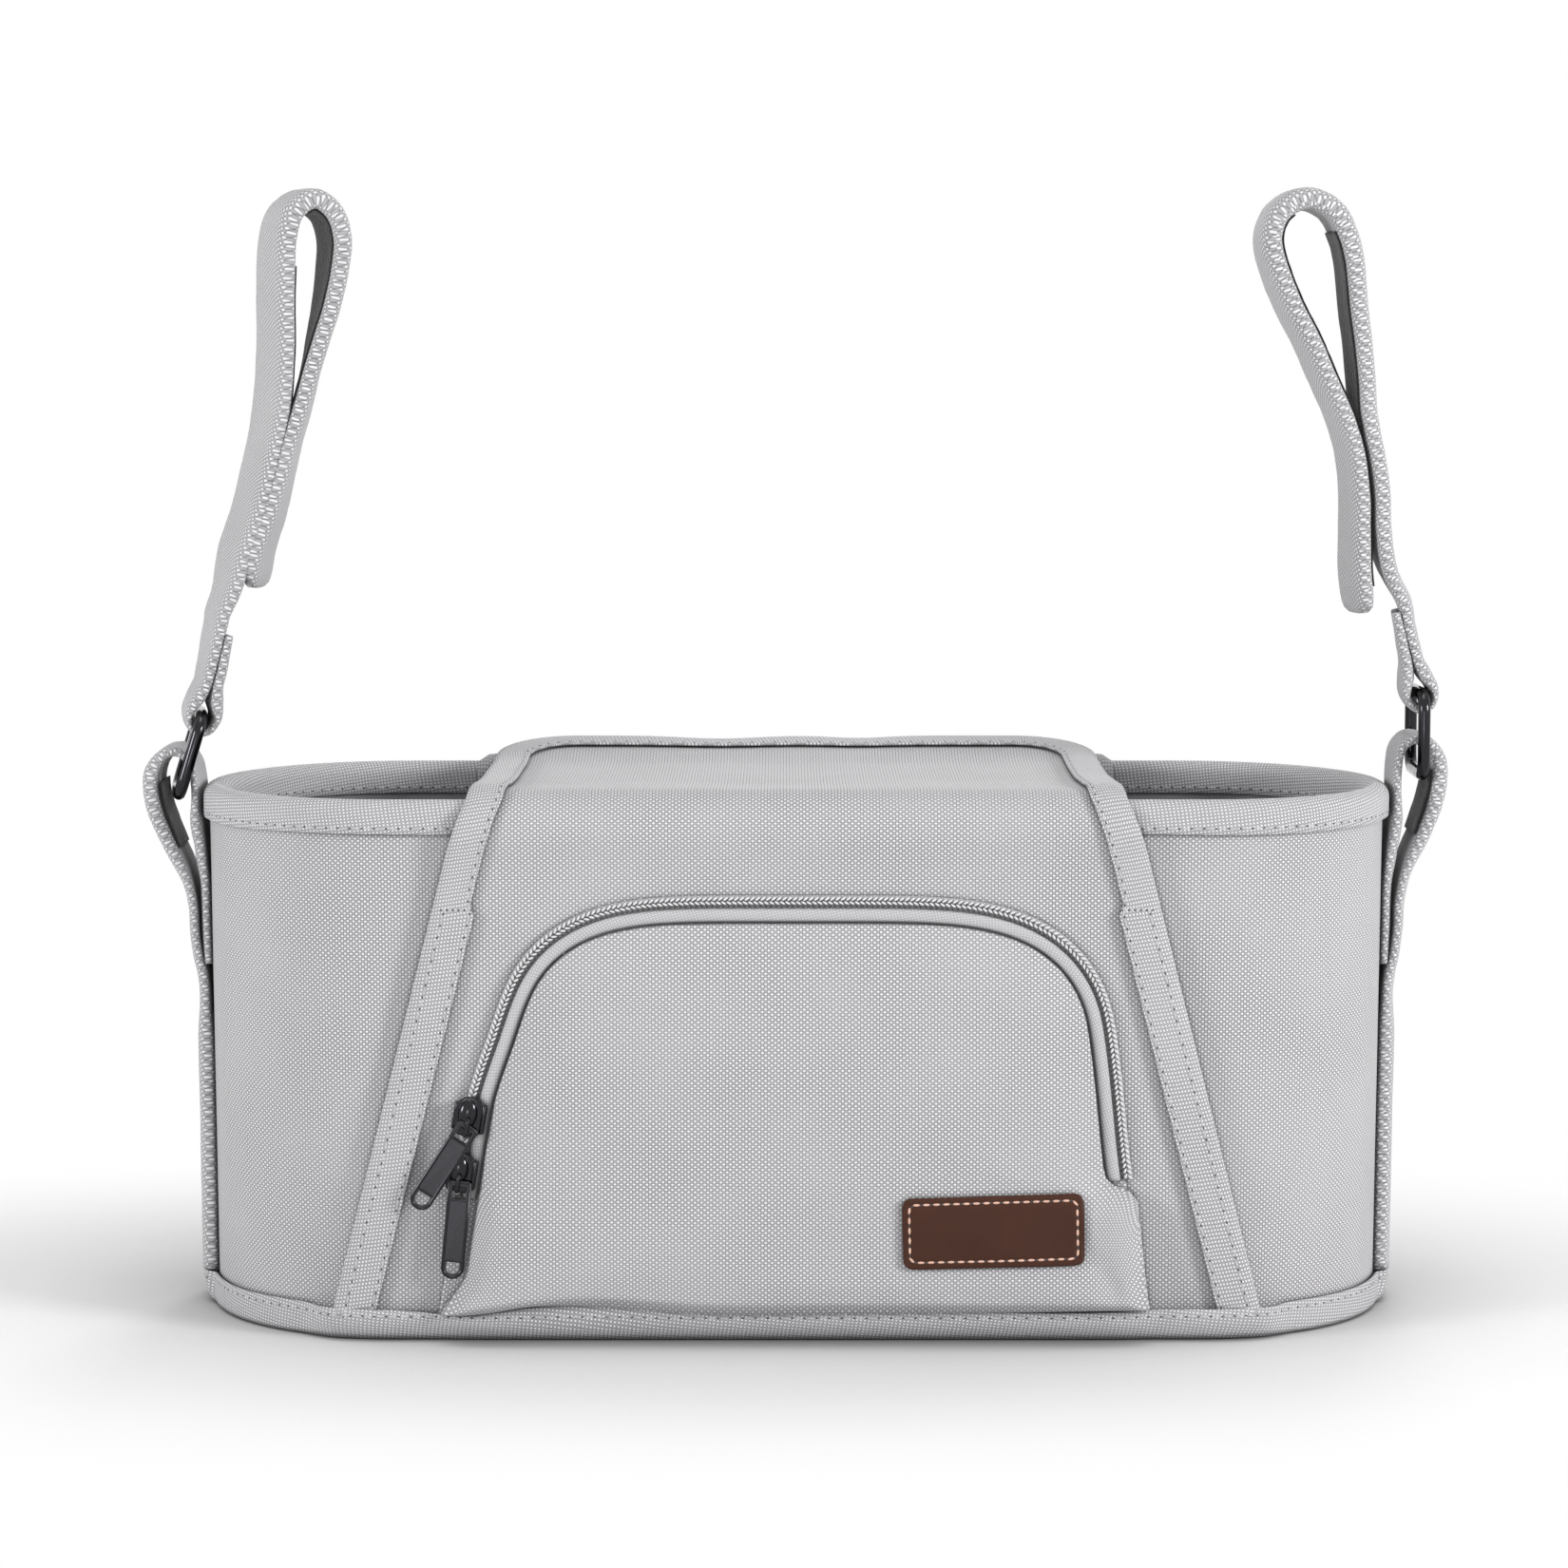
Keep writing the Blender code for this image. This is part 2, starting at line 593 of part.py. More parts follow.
def make_zip():
    """The arched zip: two tapes, the closed coil between them, and the gussets below its ends."""
    arch = pocket_arch(ZIP_END_LEFT, ZIP_END_RIGHT)
    coil_in = INNER_TAPE_WIDTH
    coil_middle = coil_in + COIL_WIDTH / 2
    outer_lift = GAP
    coil_lift = GAP + TAPE_THICKNESS + GAP
    inner_lift = coil_lift + 0.4
    strip_on_front("zip_outer_tape", arch, coil_in + COIL_WIDTH - OUTER_TAPE_WIDTH, coil_in + COIL_WIDTH,
                   outer_lift, TAPE_THICKNESS, "zip_tape")
    strip_on_front("zip_inner_tape", arch, -2.0, coil_in - GAP, inner_lift, TAPE_THICKNESS, "zip_tape")

    line = offset_line(arch, coil_middle)
    turns = 8

    def place(u, v):
        index = round(u * (len(line) - 1))
        before = Vector(line[max(index - 1, 0)])
        after = Vector(line[min(index + 1, len(line) - 1)])
        along = (after - before).normalized()
        angle = 2 * math.pi * round(v * turns) / turns
        out = COIL_WIDTH / 2 * math.cos(angle)
        lift = coil_lift + COIL_HEIGHT / 2 * (1 + math.sin(angle))
        return on_front(line[index][0] - along.y * out, line[index][1] + along.x * out, lift)

    bm = grid(len(line) - 1, turns, place)
    bmesh.ops.remove_doubles(bm, verts=bm.verts, dist=0.001)
    bmesh.ops.holes_fill(bm, edges=[edge for edge in bm.edges if edge.is_boundary])
    mesh_object("zip_coil", bm, "zip_tape")

    foot = BASE_TAPE_HEIGHT + GAP
    for name, side, top in (("left_gusset", -1, ZIP_END_LEFT), ("right_gusset", 1, ZIP_END_RIGHT)):
        high = top - GAP

        def gusset(u, v, side=side, high=high):
            z = foot + (high - foot) * v
            x = pocket_half_width(z) + (0.5 if u < 0.5 else GUSSET_WIDTH)
            if side > 0:
                x = pocket_half_width(z) + (0.5 if u > 0.5 else GUSSET_WIDTH)
            return on_front(side * x, z, coil_lift + POCKET_FABRIC)

        sheet(name, 1, 6, gusset, -POCKET_FABRIC, "woven_fabric")


def slider_frame(z):
    """Where a slider sits: x towards the pocket, y up the zip's leg, z out of the lid's front."""
    delta = 4.0
    x_low = -pocket_half_width(z - delta)
    x_high = -pocket_half_width(z + delta)
    up = Vector((x_high - x_low, 0, 2 * delta)).normalized()
    out = Vector((0, -1, 0))
    side = up.cross(out)
    middle = INNER_TAPE_WIDTH + COIL_WIDTH / 2
    origin = on_front(-pocket_half_width(z), z, GAP + TAPE_THICKNESS + GAP) - side * middle
    return Matrix.Translation(origin * MM) @ Matrix((side, up, out)).transposed().to_4x4()


def join_solids(name, solids, material, matrix):
    """Unite closed bmeshes into one solid at a matrix."""
    base = None
    for index, bm in enumerate(solids):
        obj = mesh_object(name if index == 0 else name + "_cutter", bm, material)
        if base is None:
            base = obj
            continue
        PARTS.objects.unlink(obj)
        CUTTERS.objects.link(obj)
        obj.hide_render = True
        obj.display_type = "WIRE"
        obj.matrix_world = matrix
        union = base.modifiers.new("Join", "BOOLEAN")
        union.operation = "UNION"
        union.object = obj
    base.matrix_world = matrix
    return base


def prism(outline, low, high):
    """A closed prism over an outline of (x, y) points, between two z heights."""
    def place(u, v):
        x, y = outline[round(u * len(outline)) % len(outline)]
        return Vector((x, y, low if v < 0.5 else high))

    bm = grid(len(outline), 1, place)
    bmesh.ops.remove_doubles(bm, verts=bm.verts, dist=0.0005)
    bmesh.ops.holes_fill(bm, edges=[edge for edge in bm.edges if edge.is_boundary])
    return bm


def make_slider(name, z):
    """A slider body: a plate over the coil, a wall down its outer side and a bail for the pull."""
    half = SLIDER_WIDTH / 2
    length = SLIDER_LENGTH / 2
    plate_low = COIL_HEIGHT + GAP
    plate_high = plate_low + SLIDER_PLATE
    plate = prism(rounded_rectangle(SLIDER_WIDTH, SLIDER_LENGTH, 2.2, 3), plate_low, plate_high)
    wall_in = COIL_WIDTH / 2 + GAP
    wall = prism([(-half + 0.1, -length + 2.0), (-wall_in, -length + 2.0), (-wall_in, length - 2.0),
                  (-half + 0.1, length - 2.0)], 0.0, plate_low + 0.5)
    radius = BAIL_ROUND + BAIL_WIRE
    root = plate_high - 0.4
    rise = plate_high + BAIL_RISE - BAIL_ROUND
    outside = arc(BAIL_TOP - radius, rise, radius, 0, 90, 4) + arc(BAIL_BOTTOM + radius, rise, radius, 90, 180, 4)
    inside = arc(BAIL_BOTTOM + radius, rise, BAIL_ROUND, 180, 90, 2)
    inside += arc(BAIL_TOP - radius, rise, BAIL_ROUND, 90, 0, 2)
    arch = outside + [(BAIL_BOTTOM, root), (BAIL_BOTTOM + BAIL_WIRE, root)] + inside
    arch += [(BAIL_TOP - BAIL_WIRE, root), (BAIL_TOP, root)]
    bail = prism(arch, -BAIL_WIRE / 2, BAIL_WIRE / 2)
    upright = Matrix(((0, 0, 1, 0), (1, 0, 0, 0), (0, 1, 0, 0), (0, 0, 0, 1)))
    bmesh.ops.transform(bail, matrix=upright, verts=bail.verts)
    return join_solids(name, [plate, wall, bail], "black_nickel", slider_frame(z))


def make_pull(name, z, shift, skew):
    """A long flat pull with a window at its hinge and a round eye, skewed by degrees from the zip's leg."""
    half = PULL_WIDTH / 2
    bar = PULL_THICKNESS / 2
    low = bar - PULL_LENGTH
    outline = [(-half + 0.8, bar), (half - 0.8, bar), (half, bar - 0.8)]
    outline += arc(0, low + half, half, 0, -180, 8)
    outline += [(-half, bar - 0.8)]
    opening = half - PULL_ARM
    window = [(-opening, -bar), (opening, -bar), (opening, -bar - 4.6), (-opening, -bar - 4.6)]
    eye = [(-opening, low + half + 1.6), (opening, low + half + 1.6)]
    eye += arc(0, low + half, opening, 0, -180, 6)
    pull = flat_outline(name, [outline, window, eye], PULL_THICKNESS, "black_nickel")
    seat = COIL_HEIGHT + GAP + SLIDER_PLATE + BAIL_RISE / 2
    hinge = Vector((shift, BAIL_BOTTOM + BAIL_WIRE + PULL_SEAT, seat)) * MM
    pull.matrix_world = slider_frame(z) @ Matrix.Translation(hinge) @ Matrix.Rotation(-math.radians(skew), 4, "Z")


def make_label():
    """The leather label, lying on the pocket's face."""
    x = POCKET_BASE_WIDTH / 2 - LABEL_INSET
    z = LABEL_RISE
    outline = rounded_rectangle(LABEL_LENGTH, LABEL_HEIGHT, LABEL_CORNER, 4)
    label = flat_outline("leather_label", [outline], LABEL_THICKNESS, "leather")
    low_lift = pocket_bulge(z - LABEL_HEIGHT / 2)
    high_lift = pocket_bulge(z + LABEL_HEIGHT / 2)
    tilt = math.atan2(low_lift - high_lift, LABEL_HEIGHT)
    lift = (low_lift + high_lift) / 2 + POCKET_FABRIC + GAP + LABEL_THICKNESS / 2
    place = Matrix.Translation(on_front(x, z, lift) * MM)
    upright = Matrix.Rotation(math.pi / 2 - tilt, 4, "X")
    label.matrix_world = place @ upright @ Matrix.Rotation(math.radians(-LABEL_TURN), 4, "Z")


# Strap pieces are outlines in a side view, as wide as the strap

def ribbon(name, path, width, material, frame):
    """A flat ribbon: its middle line as (out, up, thickness) points, extruded to its width."""
    left = []
    right = []
    for index, (x, y, thickness) in enumerate(path):
        before = Vector(path[max(index - 1, 0)][:2])
        after = Vector(path[min(index + 1, len(path) - 1)][:2])
        along = (after - before).normalized()
        left.append((x - along.y * thickness / 2, y + along.x * thickness / 2))
        right.append((x + along.y * thickness / 2, y - along.x * thickness / 2))
    obj = flat_outline(name, [left + right[::-1]], width, material)
    obj.matrix_world = frame
    return obj


def facing_strip(path, first, last, side, own, thickness):
    """The middle line of a strip that lies on one side of a ribbon, between two shares of its length."""
    lengths = path_lengths([point[:2] for point in path])
    total = lengths[-1]
    strip = []
    for index, (x, y, ribbon_thickness) in enumerate(path):
        if not first <= lengths[index] / total <= last:
            continue
        before = Vector(path[max(index - 1, 0)][:2])
        after = Vector(path[min(index + 1, len(path) - 1)][:2])
        along = (after - before).normalized()
        away = side * (ribbon_thickness / 2 + own + thickness / 2)
        strip.append((x - along.y * away, y + along.x * away, thickness))
    return strip


def side_frame(side, out, up, yaw=0.0):
    """A frame at a bag end: x points out from the bag, y up, and z along the strap's width."""
    origin = Vector((side * (HALF_LENGTH + out), 0, BODY_HEIGHT + up)) * MM
    outward = Vector((side, 0, 0))
    upward = Vector((0, 0, 1))
    axes = Matrix((outward, upward, outward.cross(upward))).transposed().to_4x4()
    return Matrix.Translation(origin) @ Matrix.Rotation(math.radians(yaw), 4, "Z") @ axes


def make_anchor(word, side):
    """The strap sewn down the bag's end and folded into a loop, with its black inner face."""
    drop = BODY_HEIGHT - BASE_TAPE_HEIGHT - GAP
    slant = HALF_LENGTH - HALF_BASE
    low = GAP + STRAP_THICKNESS / 2
    foot = [(low - slant * drop / BODY_HEIGHT, -drop, STRAP_THICKNESS),
            (low - slant * ANCHOR_SEAM_DROP / BODY_HEIGHT, -ANCHOR_SEAM_DROP, STRAP_THICKNESS)]
    path = foot[:1] + smooth_path(foot[1:] + ANCHOR_PATH[side], 3)
    frame = side_frame(side, 0.0, 0.0)
    ribbon(word + "_anchor_strap", path, ANCHOR_WIDTH, "woven_fabric", frame)
    backing = facing_strip(path, 0.56, 0.785, 1, GAP, TOUCH_TAPE)
    ribbon(word + "_anchor_backing", backing, TOUCH_TAPE_WIDTH, "touch_tape", frame)


def ring_frame(side):
    """The ring's lower bar: x out from the bag, y up, z along the bar."""
    out, up = RING_PLACE[side]
    return side_frame(side, out, up, RING_YAW[side])


def make_ring(word, side):
    """A rectangular wire ring, its origin on its lower bar, which hangs in the anchor's loop."""
    curve = bpy.data.curves.new(word + "_ring", "CURVE")
    curve.dimensions = "3D"
    curve.bevel_depth = RING_WIRE / 2 * MM
    curve.bevel_resolution = 2
    width = RING_INNER_WIDTH + RING_WIRE
    outline = rounded_rectangle(width, RING_HEIGHT, RING_CORNER, 4, 0.0, RING_HEIGHT / 2)
    spline = curve.splines.new("POLY")
    spline.points.add(len(outline) - 1)
    spline.use_cyclic_u = True
    for point, (x, y) in zip(spline.points, outline):
        point.co = (0.0, y * MM, x * MM, 1.0)
    ring = add_object(word + "_ring", curve, "black_nickel")
    ring.matrix_world = ring_frame(side) @ Matrix.Rotation(math.radians(RING_LEAN[side]), 4, "Z")


def eye_points():
    """The strap's turn under the ring's bar, as (out, up, thickness) from that bar."""
    lean = math.radians(EYE_LEAN)
    along = Vector((-math.sin(lean), math.cos(lean)))
    away = Vector((math.cos(lean), math.sin(lean)))
    half = (STRAP_THICKNESS + GAP) / 2 + 0.2
    stations = [(half, 26.0, STRAP_THICKNESS), (half, 17.0, STRAP_THICKNESS), (half - 0.1, 9.5, 3.6),
                (EYE_HALF, 2.5, EYE_FABRIC), (EYE_HALF, -3.0, EYE_FABRIC), (0.0, -6.8, EYE_FABRIC),
                (-EYE_HALF, -3.0, EYE_FABRIC), (-EYE_HALF, 2.5, EYE_FABRIC), (-half + 0.1, 9.5, 3.6),
                (-half, 17.0, STRAP_THICKNESS), (-half, 23.0, STRAP_THICKNESS)]
    points = []
    for out, up, thickness in stations:
        place = away * out + along * up
        points.append((place.x, place.y, thickness))
    return points


def make_strap(word, side):
    """The hanging strap, sewn round the ring's upper bar, with the touch tapes on its inner faces."""
    path = [(x, y, STRAP_THICKNESS) for x, y in STRAP_PATH[side]]
    path = smooth_path(path + eye_points(), 3)
    lean = math.radians(RING_LEAN[side])
    top = Vector((-math.sin(lean), math.cos(lean), 0)) * RING_HEIGHT * MM
    frame = ring_frame(side) @ Matrix.Translation(top)
    ribbon(word + "_strap", path, STRAP_WIDTH, "woven_fabric", frame)
    hook = facing_strip(path, 0.02, 0.36, -1, GAP, TOUCH_TAPE)
    ribbon(word + "_hook_strip", hook, TOUCH_TAPE_WIDTH, "touch_tape", frame)
    loop = facing_strip(path, 0.46, 0.74, -1, GAP, TOUCH_TAPE)
    ribbon(word + "_loop_strip", loop, TOUCH_TAPE_WIDTH, "touch_tape", frame)


clear_scene()
PARTS = new_collection("stroller_organizer")
CUTTERS = new_collection("cutters")
LID_PATH = lid_profile()
LID_STATIONS = path_lengths(LID_PATH)
LID_LENGTH = LID_STATIONS[-1]

make_body()
make_tapes()
make_dividers()
make_lid()
make_rear_band()
make_pocket()
make_zip()
make_slider("upper_slider", UPPER_SLIDER_HEIGHT)
make_slider("lower_slider", LOWER_SLIDER_HEIGHT)
make_pull("upper_pull", UPPER_SLIDER_HEIGHT, UPPER_PULL_SHIFT, UPPER_PULL_SKEW)
make_pull("lower_pull", LOWER_SLIDER_HEIGHT, LOWER_PULL_SHIFT, LOWER_PULL_SKEW)
make_label()
for side_word, side_sign in (("left", -1), ("right", 1)):
    make_anchor(side_word, side_sign)
    make_ring(side_word, side_sign)
    make_strap(side_word, side_sign)
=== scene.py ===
"""Stroller organizer: its woven bag, lid, zipped pocket and hanging straps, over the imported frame."""

import math

import bpy
from bpy.props import FloatProperty, FloatVectorProperty, PointerProperty
from mathutils import Matrix, Vector, noise


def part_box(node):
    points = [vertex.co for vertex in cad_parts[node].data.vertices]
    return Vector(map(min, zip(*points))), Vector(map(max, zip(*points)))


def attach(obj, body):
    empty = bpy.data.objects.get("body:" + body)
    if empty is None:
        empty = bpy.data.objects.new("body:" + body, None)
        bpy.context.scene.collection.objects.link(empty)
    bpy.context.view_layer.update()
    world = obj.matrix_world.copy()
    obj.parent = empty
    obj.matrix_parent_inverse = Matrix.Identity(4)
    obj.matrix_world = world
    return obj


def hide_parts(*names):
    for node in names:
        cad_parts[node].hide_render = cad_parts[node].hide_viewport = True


bl_info = {
    "name": "Stroller Organizer",
    "version": (1, 0, 0),
    "blender": (4, 5, 0),
    "location": "View3D > Sidebar > Organizer",
    "description": "Builds a woven stroller organizer with a lid, a zipped pocket and two hanging straps",
    "category": "Add Mesh",
}

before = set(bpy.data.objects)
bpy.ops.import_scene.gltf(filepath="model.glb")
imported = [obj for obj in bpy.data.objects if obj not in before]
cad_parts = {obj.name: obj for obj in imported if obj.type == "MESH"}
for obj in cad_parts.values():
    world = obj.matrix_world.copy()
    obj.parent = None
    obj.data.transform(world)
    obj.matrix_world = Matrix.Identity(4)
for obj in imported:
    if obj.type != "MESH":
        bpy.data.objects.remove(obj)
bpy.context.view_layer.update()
MM = 0.001

# Sizes of the bag, in millimetres, as the frame has them
BODY_LENGTH = 356.0
BASE_TAPER = 3.0
BODY_DEPTH = 130.0
BODY_HEIGHT = 158.5
END_ROUND = 57.5
HALF_LENGTH = BODY_LENGTH / 2
HALF_DEPTH = BODY_DEPTH / 2
END_ARC = math.pi / 2 * math.sqrt((END_ROUND ** 2 + HALF_DEPTH ** 2) / 2)
SIDE_RUN = BODY_LENGTH - 2 * END_ROUND
HALF_ROUND = 2 * END_ARC + SIDE_RUN
ROUND = 2 * HALF_ROUND
RIM_TAPE_HEIGHT = 10.0
BASE_TAPE_HEIGHT = 9.5
PLAN_STEPS = 216

# Thicknesses of the walls and cloths, and the places of the lining and of the cloth under the base
WALL_THICKNESS = 3.4
CLOTH_THICKNESS = 0.8
LINING_THICKNESS = 0.7
POCKET_THICKNESS = 1.2
ZIP_TAPE_THICKNESS = 0.5
LINING_OUT = -4.0
LINING_FLOOR = 5.2
BASE_CLOTH_OUT = -2.9

LID_THICKNESS = 1.6
LID_LIFT = 3.1
LID_FRONT = HALF_DEPTH + LID_LIFT
LID_FOOT = 7.2
LID_BASE_WIDTH = 270.0
LID_RIM_WIDTH = 193.0
LID_CORNER = 24.0
LID_NARROWING = 3.5
LID_OVERHANG = 5.0
BAR_TACK = 127.0
SEAM_LIFT = 2.6
REAR_BAND_WIDTH = 201.0

POCKET_BASE_WIDTH = 197.0
POCKET_SHOULDER_WIDTH = 169.5
POCKET_SHOULDER = 92.0
POCKET_TOP = 123.0
POCKET_FOOT = 9.3
POCKET_BULGE_TOP = 7.0
POCKET_BULGE_BASE = 13.5
POCKET_MOVE = 1.6
ZIP_END_LEFT = 42.0
ZIP_END_RIGHT = 47.0
COIL_INNER = 4.6
COIL_WIDTH = 3.3
ARCH_STEPS = 240

# Each slider's height, and how far its pull is shifted and turned, in degrees
SLIDERS = (("upper", 65.4, 0.3, 23.5), ("lower", 49.0, 0.6, -4.0))
PULL_LENGTH = 29.0
PULL_WIDTH = 6.8
PULL_THICKNESS = 1.3
PULL_OPENING = 4.0

LABEL_LENGTH = 53.0
LABEL_HEIGHT = 21.0
LABEL_CORNER = 3.0
LABEL_THICKNESS = 1.4
LABEL_INSET = 41.5
LABEL_RISE = 34.5
LABEL_TURN = 1.2

SIDES = ((-1, "left"), (1, "right"))
STRAP_WIDTH = 25.0
BAND_WIDTH = 24.6
BACKING_WIDTH = 22.5
TOUCH_TAPE_WIDTH = 20.5
RING_WIRE = 3.8
RING_WIDTH = 30.8
RING_HEIGHT = 24.2
RING_CORNER = 5.0
RING_PLACE = {-1: (9.8, -3.5), 1: (10.65, 2.5)}
RING_LEAN = {-1: 17.0, 1: 0.0}
RING_YAW = {-1: 8.0, 1: 0.0}

# Where the strap's two touch tapes start and end, by share of the strap's length from its free end
TOUCH_TAPES = (("hook", 0.02, 0.39), ("loop", 0.445, 0.72))

# The anchor's middle line: distance out from the wall, height above the rim, thickness
ANCHOR_PATH = {
    1: [(2.2, -149.0, 3.8), (2.2, -125.0, 3.8), (2.2, -100.0, 3.8), (2.3, -78.0, 3.8), (2.4, -62.0, 3.8),
        (4.2, -52.0, 3.4), (4.9, -44.0, 3.3), (5.2, -36.0, 3.3), (7.2, -26.5, 3.4), (11.0, -16.5, 3.7),
        (14.5, -6.5, 4.2), (15.9, 1.0, 4.2), (15.4, 7.0, 4.0), (12.2, 12.0, 3.6), (7.9, 12.9, 3.3),
        (4.4, 9.4, 3.2), (3.4, 2.5, 3.2), (3.3, -6.5, 3.2), (2.9, -13.5, 3.2), (1.9, -21.5, 3.0),
        (1.6, -32.0, 2.6), (1.5, -44.0, 2.6), (1.5, -55.0, 2.6)],
    -1: [(2.2, -149.0, 3.8), (2.2, -125.0, 3.8), (2.2, -100.0, 3.8), (2.3, -78.0, 3.8), (2.4, -62.0, 3.8),
         (4.2, -52.0, 3.4), (4.9, -44.0, 3.3), (5.2, -37.0, 3.3), (7.2, -28.5, 3.4), (11.2, -19.0, 3.7),
         (15.0, -9.5, 4.2), (16.6, -2.0, 4.2), (15.9, 4.0, 4.0), (12.6, 8.5, 3.6), (8.3, 9.0, 3.2),
         (4.8, 5.6, 3.1), (3.5, -0.5, 3.1), (3.2, -8.5, 3.2), (2.8, -14.5, 3.2), (1.9, -21.5, 3.0),
         (1.6, -32.0, 2.6), (1.5, -44.0, 2.6), (1.5, -55.0, 2.6)],
}

# Turn of the strap about the upright, in degrees, from its free end to its ring, by share of its length
STRAP_TURN = {
    1: [(0.0, 9.0), (0.25, 5.0), (0.4, 2.0), (0.55, 3.0), (0.7, 5.0), (0.8, -7.0), (0.89, -2.0), (1.0, -7.0)],
    -1: [(0.0, -14.0), (0.15, -6.0), (0.33, 11.0), (0.45, 16.0), (0.6, 18.0), (0.7, 17.0), (0.8, 8.0),
         (0.89, 2.0), (1.0, 9.0)],
}

# The strap's middle line from its free end to its ring: distance out from the ring's top bar, height above it
STRAP_PATH = {
    1: [(-17.9, 24.3), (-19.3, 36.8), (-19.5, 48.8), (-19.7, 59.8), (-21.0, 71.3), (-24.3, 82.8),
        (-29.4, 94.3), (-34.4, 105.8), (-40.0, 116.8), (-44.5, 128.4), (-46.1, 136.8), (-43.4, 143.8),
        (-36.4, 147.4), (-28.9, 144.3), (-24.7, 136.8), (-22.7, 128.4), (-21.5, 116.8), (-19.9, 105.8),
        (-18.7, 94.3), (-17.8, 82.8), (-15.5, 71.3), (-13.9, 59.8), (-13.2, 48.8), (-10.0, 37.3)],
    -1: [(-16.6, 38.9), (-18.6, 49.9), (-22.4, 60.9), (-25.55, 72.6), (-28.3, 83.9), (-31.9, 95.9),
         (-35.7, 111.9), (-38.7, 123.9), (-40.6, 135.5), (-41.0, 143.9), (-38.7, 150.9), (-33.3, 154.5),
         (-27.7, 150.9), (-25.4, 143.9), (-24.7, 135.5), (-24.3, 123.9), (-24.1, 111.9), (-22.9, 95.9),
         (-21.0, 83.9), (-18.3, 72.6), (-15.2, 60.9), (-11.3, 49.9), (-8.7, 38.9), (-5.6, 31.5)],
}


# The camera's place in metres, and how many degrees it looks down
CAMERA_PLACE = (-0.0037, -1.450, 0.2955)
CAMERA_DIP = 5.456

# Each lamp's name, place and width in metres, and its power in watts
LAMPS = (
    ("key", (1.95, -1.15, 0.75), 0.6, 39.0),
    ("side", (-1.95, -1.1, 0.65), 0.6, 24.5),
    ("top", (0.0, -0.2, 2.0), 1.0, 10.0),
    ("front", (-0.3, -2.3, 0.12), 0.35, 4.0),
    ("rear", (0.4, 2.2, 1.2), 0.8, 14.0),
)


def linear(hex_colour):
    """An sRGB hex colour as linear values."""
    values = []
    for start in (1, 3, 5):
        share = int(hex_colour[start:start + 2], 16) / 255
        values.append(share / 12.92 if share <= 0.04045 else ((share + 0.055) / 1.055) ** 2.4)
    return (*values, 1.0)


class OrganizerSizes(bpy.types.PropertyGroup):
    thread_pitch: FloatProperty(
        name="Thread pitch", description="Spacing of the cloth's upright threads, in millimetres",
        default=0.93, min=0.3, max=3.0)
    row_pitch: FloatProperty(
        name="Row pitch", description="Spacing of the cloth's level threads, in millimetres",
        default=0.735, min=0.3, max=3.0)
    stitch_pitch: FloatProperty(
        name="Stitch pitch", description="Length from one stitch to the next, in millimetres",
        default=3.6, min=1.5, max=8.0)
    wall_swell: FloatProperty(
        name="Wall swell", description="How far the padded walls stand out, in millimetres",
        default=1.1, min=0.0, max=4.0)
    pocket_pressure: FloatProperty(
        name="Pocket pressure", description="Air pressure that fills the front pocket",
        default=0.9, min=0.0, max=5.0)
    camera_lens: FloatProperty(
        name="Lens", description="Focal length of the camera", default=110.0, unit="CAMERA")


class OrganizerColours(bpy.types.PropertyGroup):
    # The raised threads' colour is painted lit and the sunk threads' colour painted shaded, as the weave's
    # relief would show them.
    cloth_light: FloatVectorProperty(name="Raised threads", description="Colour of the raised threads",
                                     subtype="COLOR", size=4, default=linear("#E5E4E6"))
    cloth_dark: FloatVectorProperty(name="Sunk threads", description="Colour of the sunk threads",
                                    subtype="COLOR", size=4, default=linear("#A2A1A4"))
    leather: FloatVectorProperty(name="Leather", description="Colour of the leather label",
                                 subtype="COLOR", size=4, default=linear("#40261C"))
    metal: FloatVectorProperty(name="Metal", description="Colour of the rings and the zip sliders",
                               subtype="COLOR", size=4, default=linear("#37373A"))


def sizes():
    return bpy.context.scene.organizer_sizes


def colours():
    return bpy.context.scene.organizer_colours


# Materials

def add_node(tree, kind, inputs=None, **settings):
    """Add a node, set its settings, and set or link its inputs; a socket given as a value is linked."""
    made = tree.nodes.new(kind)
    for setting, value in settings.items():
        setattr(made, setting, value)
    for name, value in (inputs or {}).items():
        if isinstance(value, bpy.types.NodeSocket):
            tree.links.new(value, made.inputs[name])
        else:
            made.inputs[name].default_value = value
    return made


def new_material(name, roughness, **shader_values):
    """A material with its shader, whose plain values are set on the shader's own sockets."""
    material = bpy.data.materials.new(name)
    material.use_nodes = True
    shader = material.node_tree.nodes["Principled BSDF"]
    shader.inputs["Roughness"].default_value = roughness
    for socket, value in shader_values.items():
        shader.inputs[socket.replace("_", " ")].default_value = value
    return material, material.node_tree, shader


def mean_colour(*shades):
    """The sum of colours, each given with its share: a mean where the shares add up to 1."""
    return tuple(sum(colour[i] * share for colour, share in shades) for i in range(3)) + (1.0,)


def painted_crease_shade(tree, reach, depth):
    """Painted shade: a factor that is 1 in the open and falls to a depth in narrow seams and gaps."""
    seam = add_node(tree, "ShaderNodeAmbientOcclusion", {"Distance": reach * MM}, samples=6)
    return add_node(tree, "ShaderNodeMapRange", {0: seam.outputs["AO"], 1: 0.3, 2: 0.85, 3: depth, 4: 1.0})


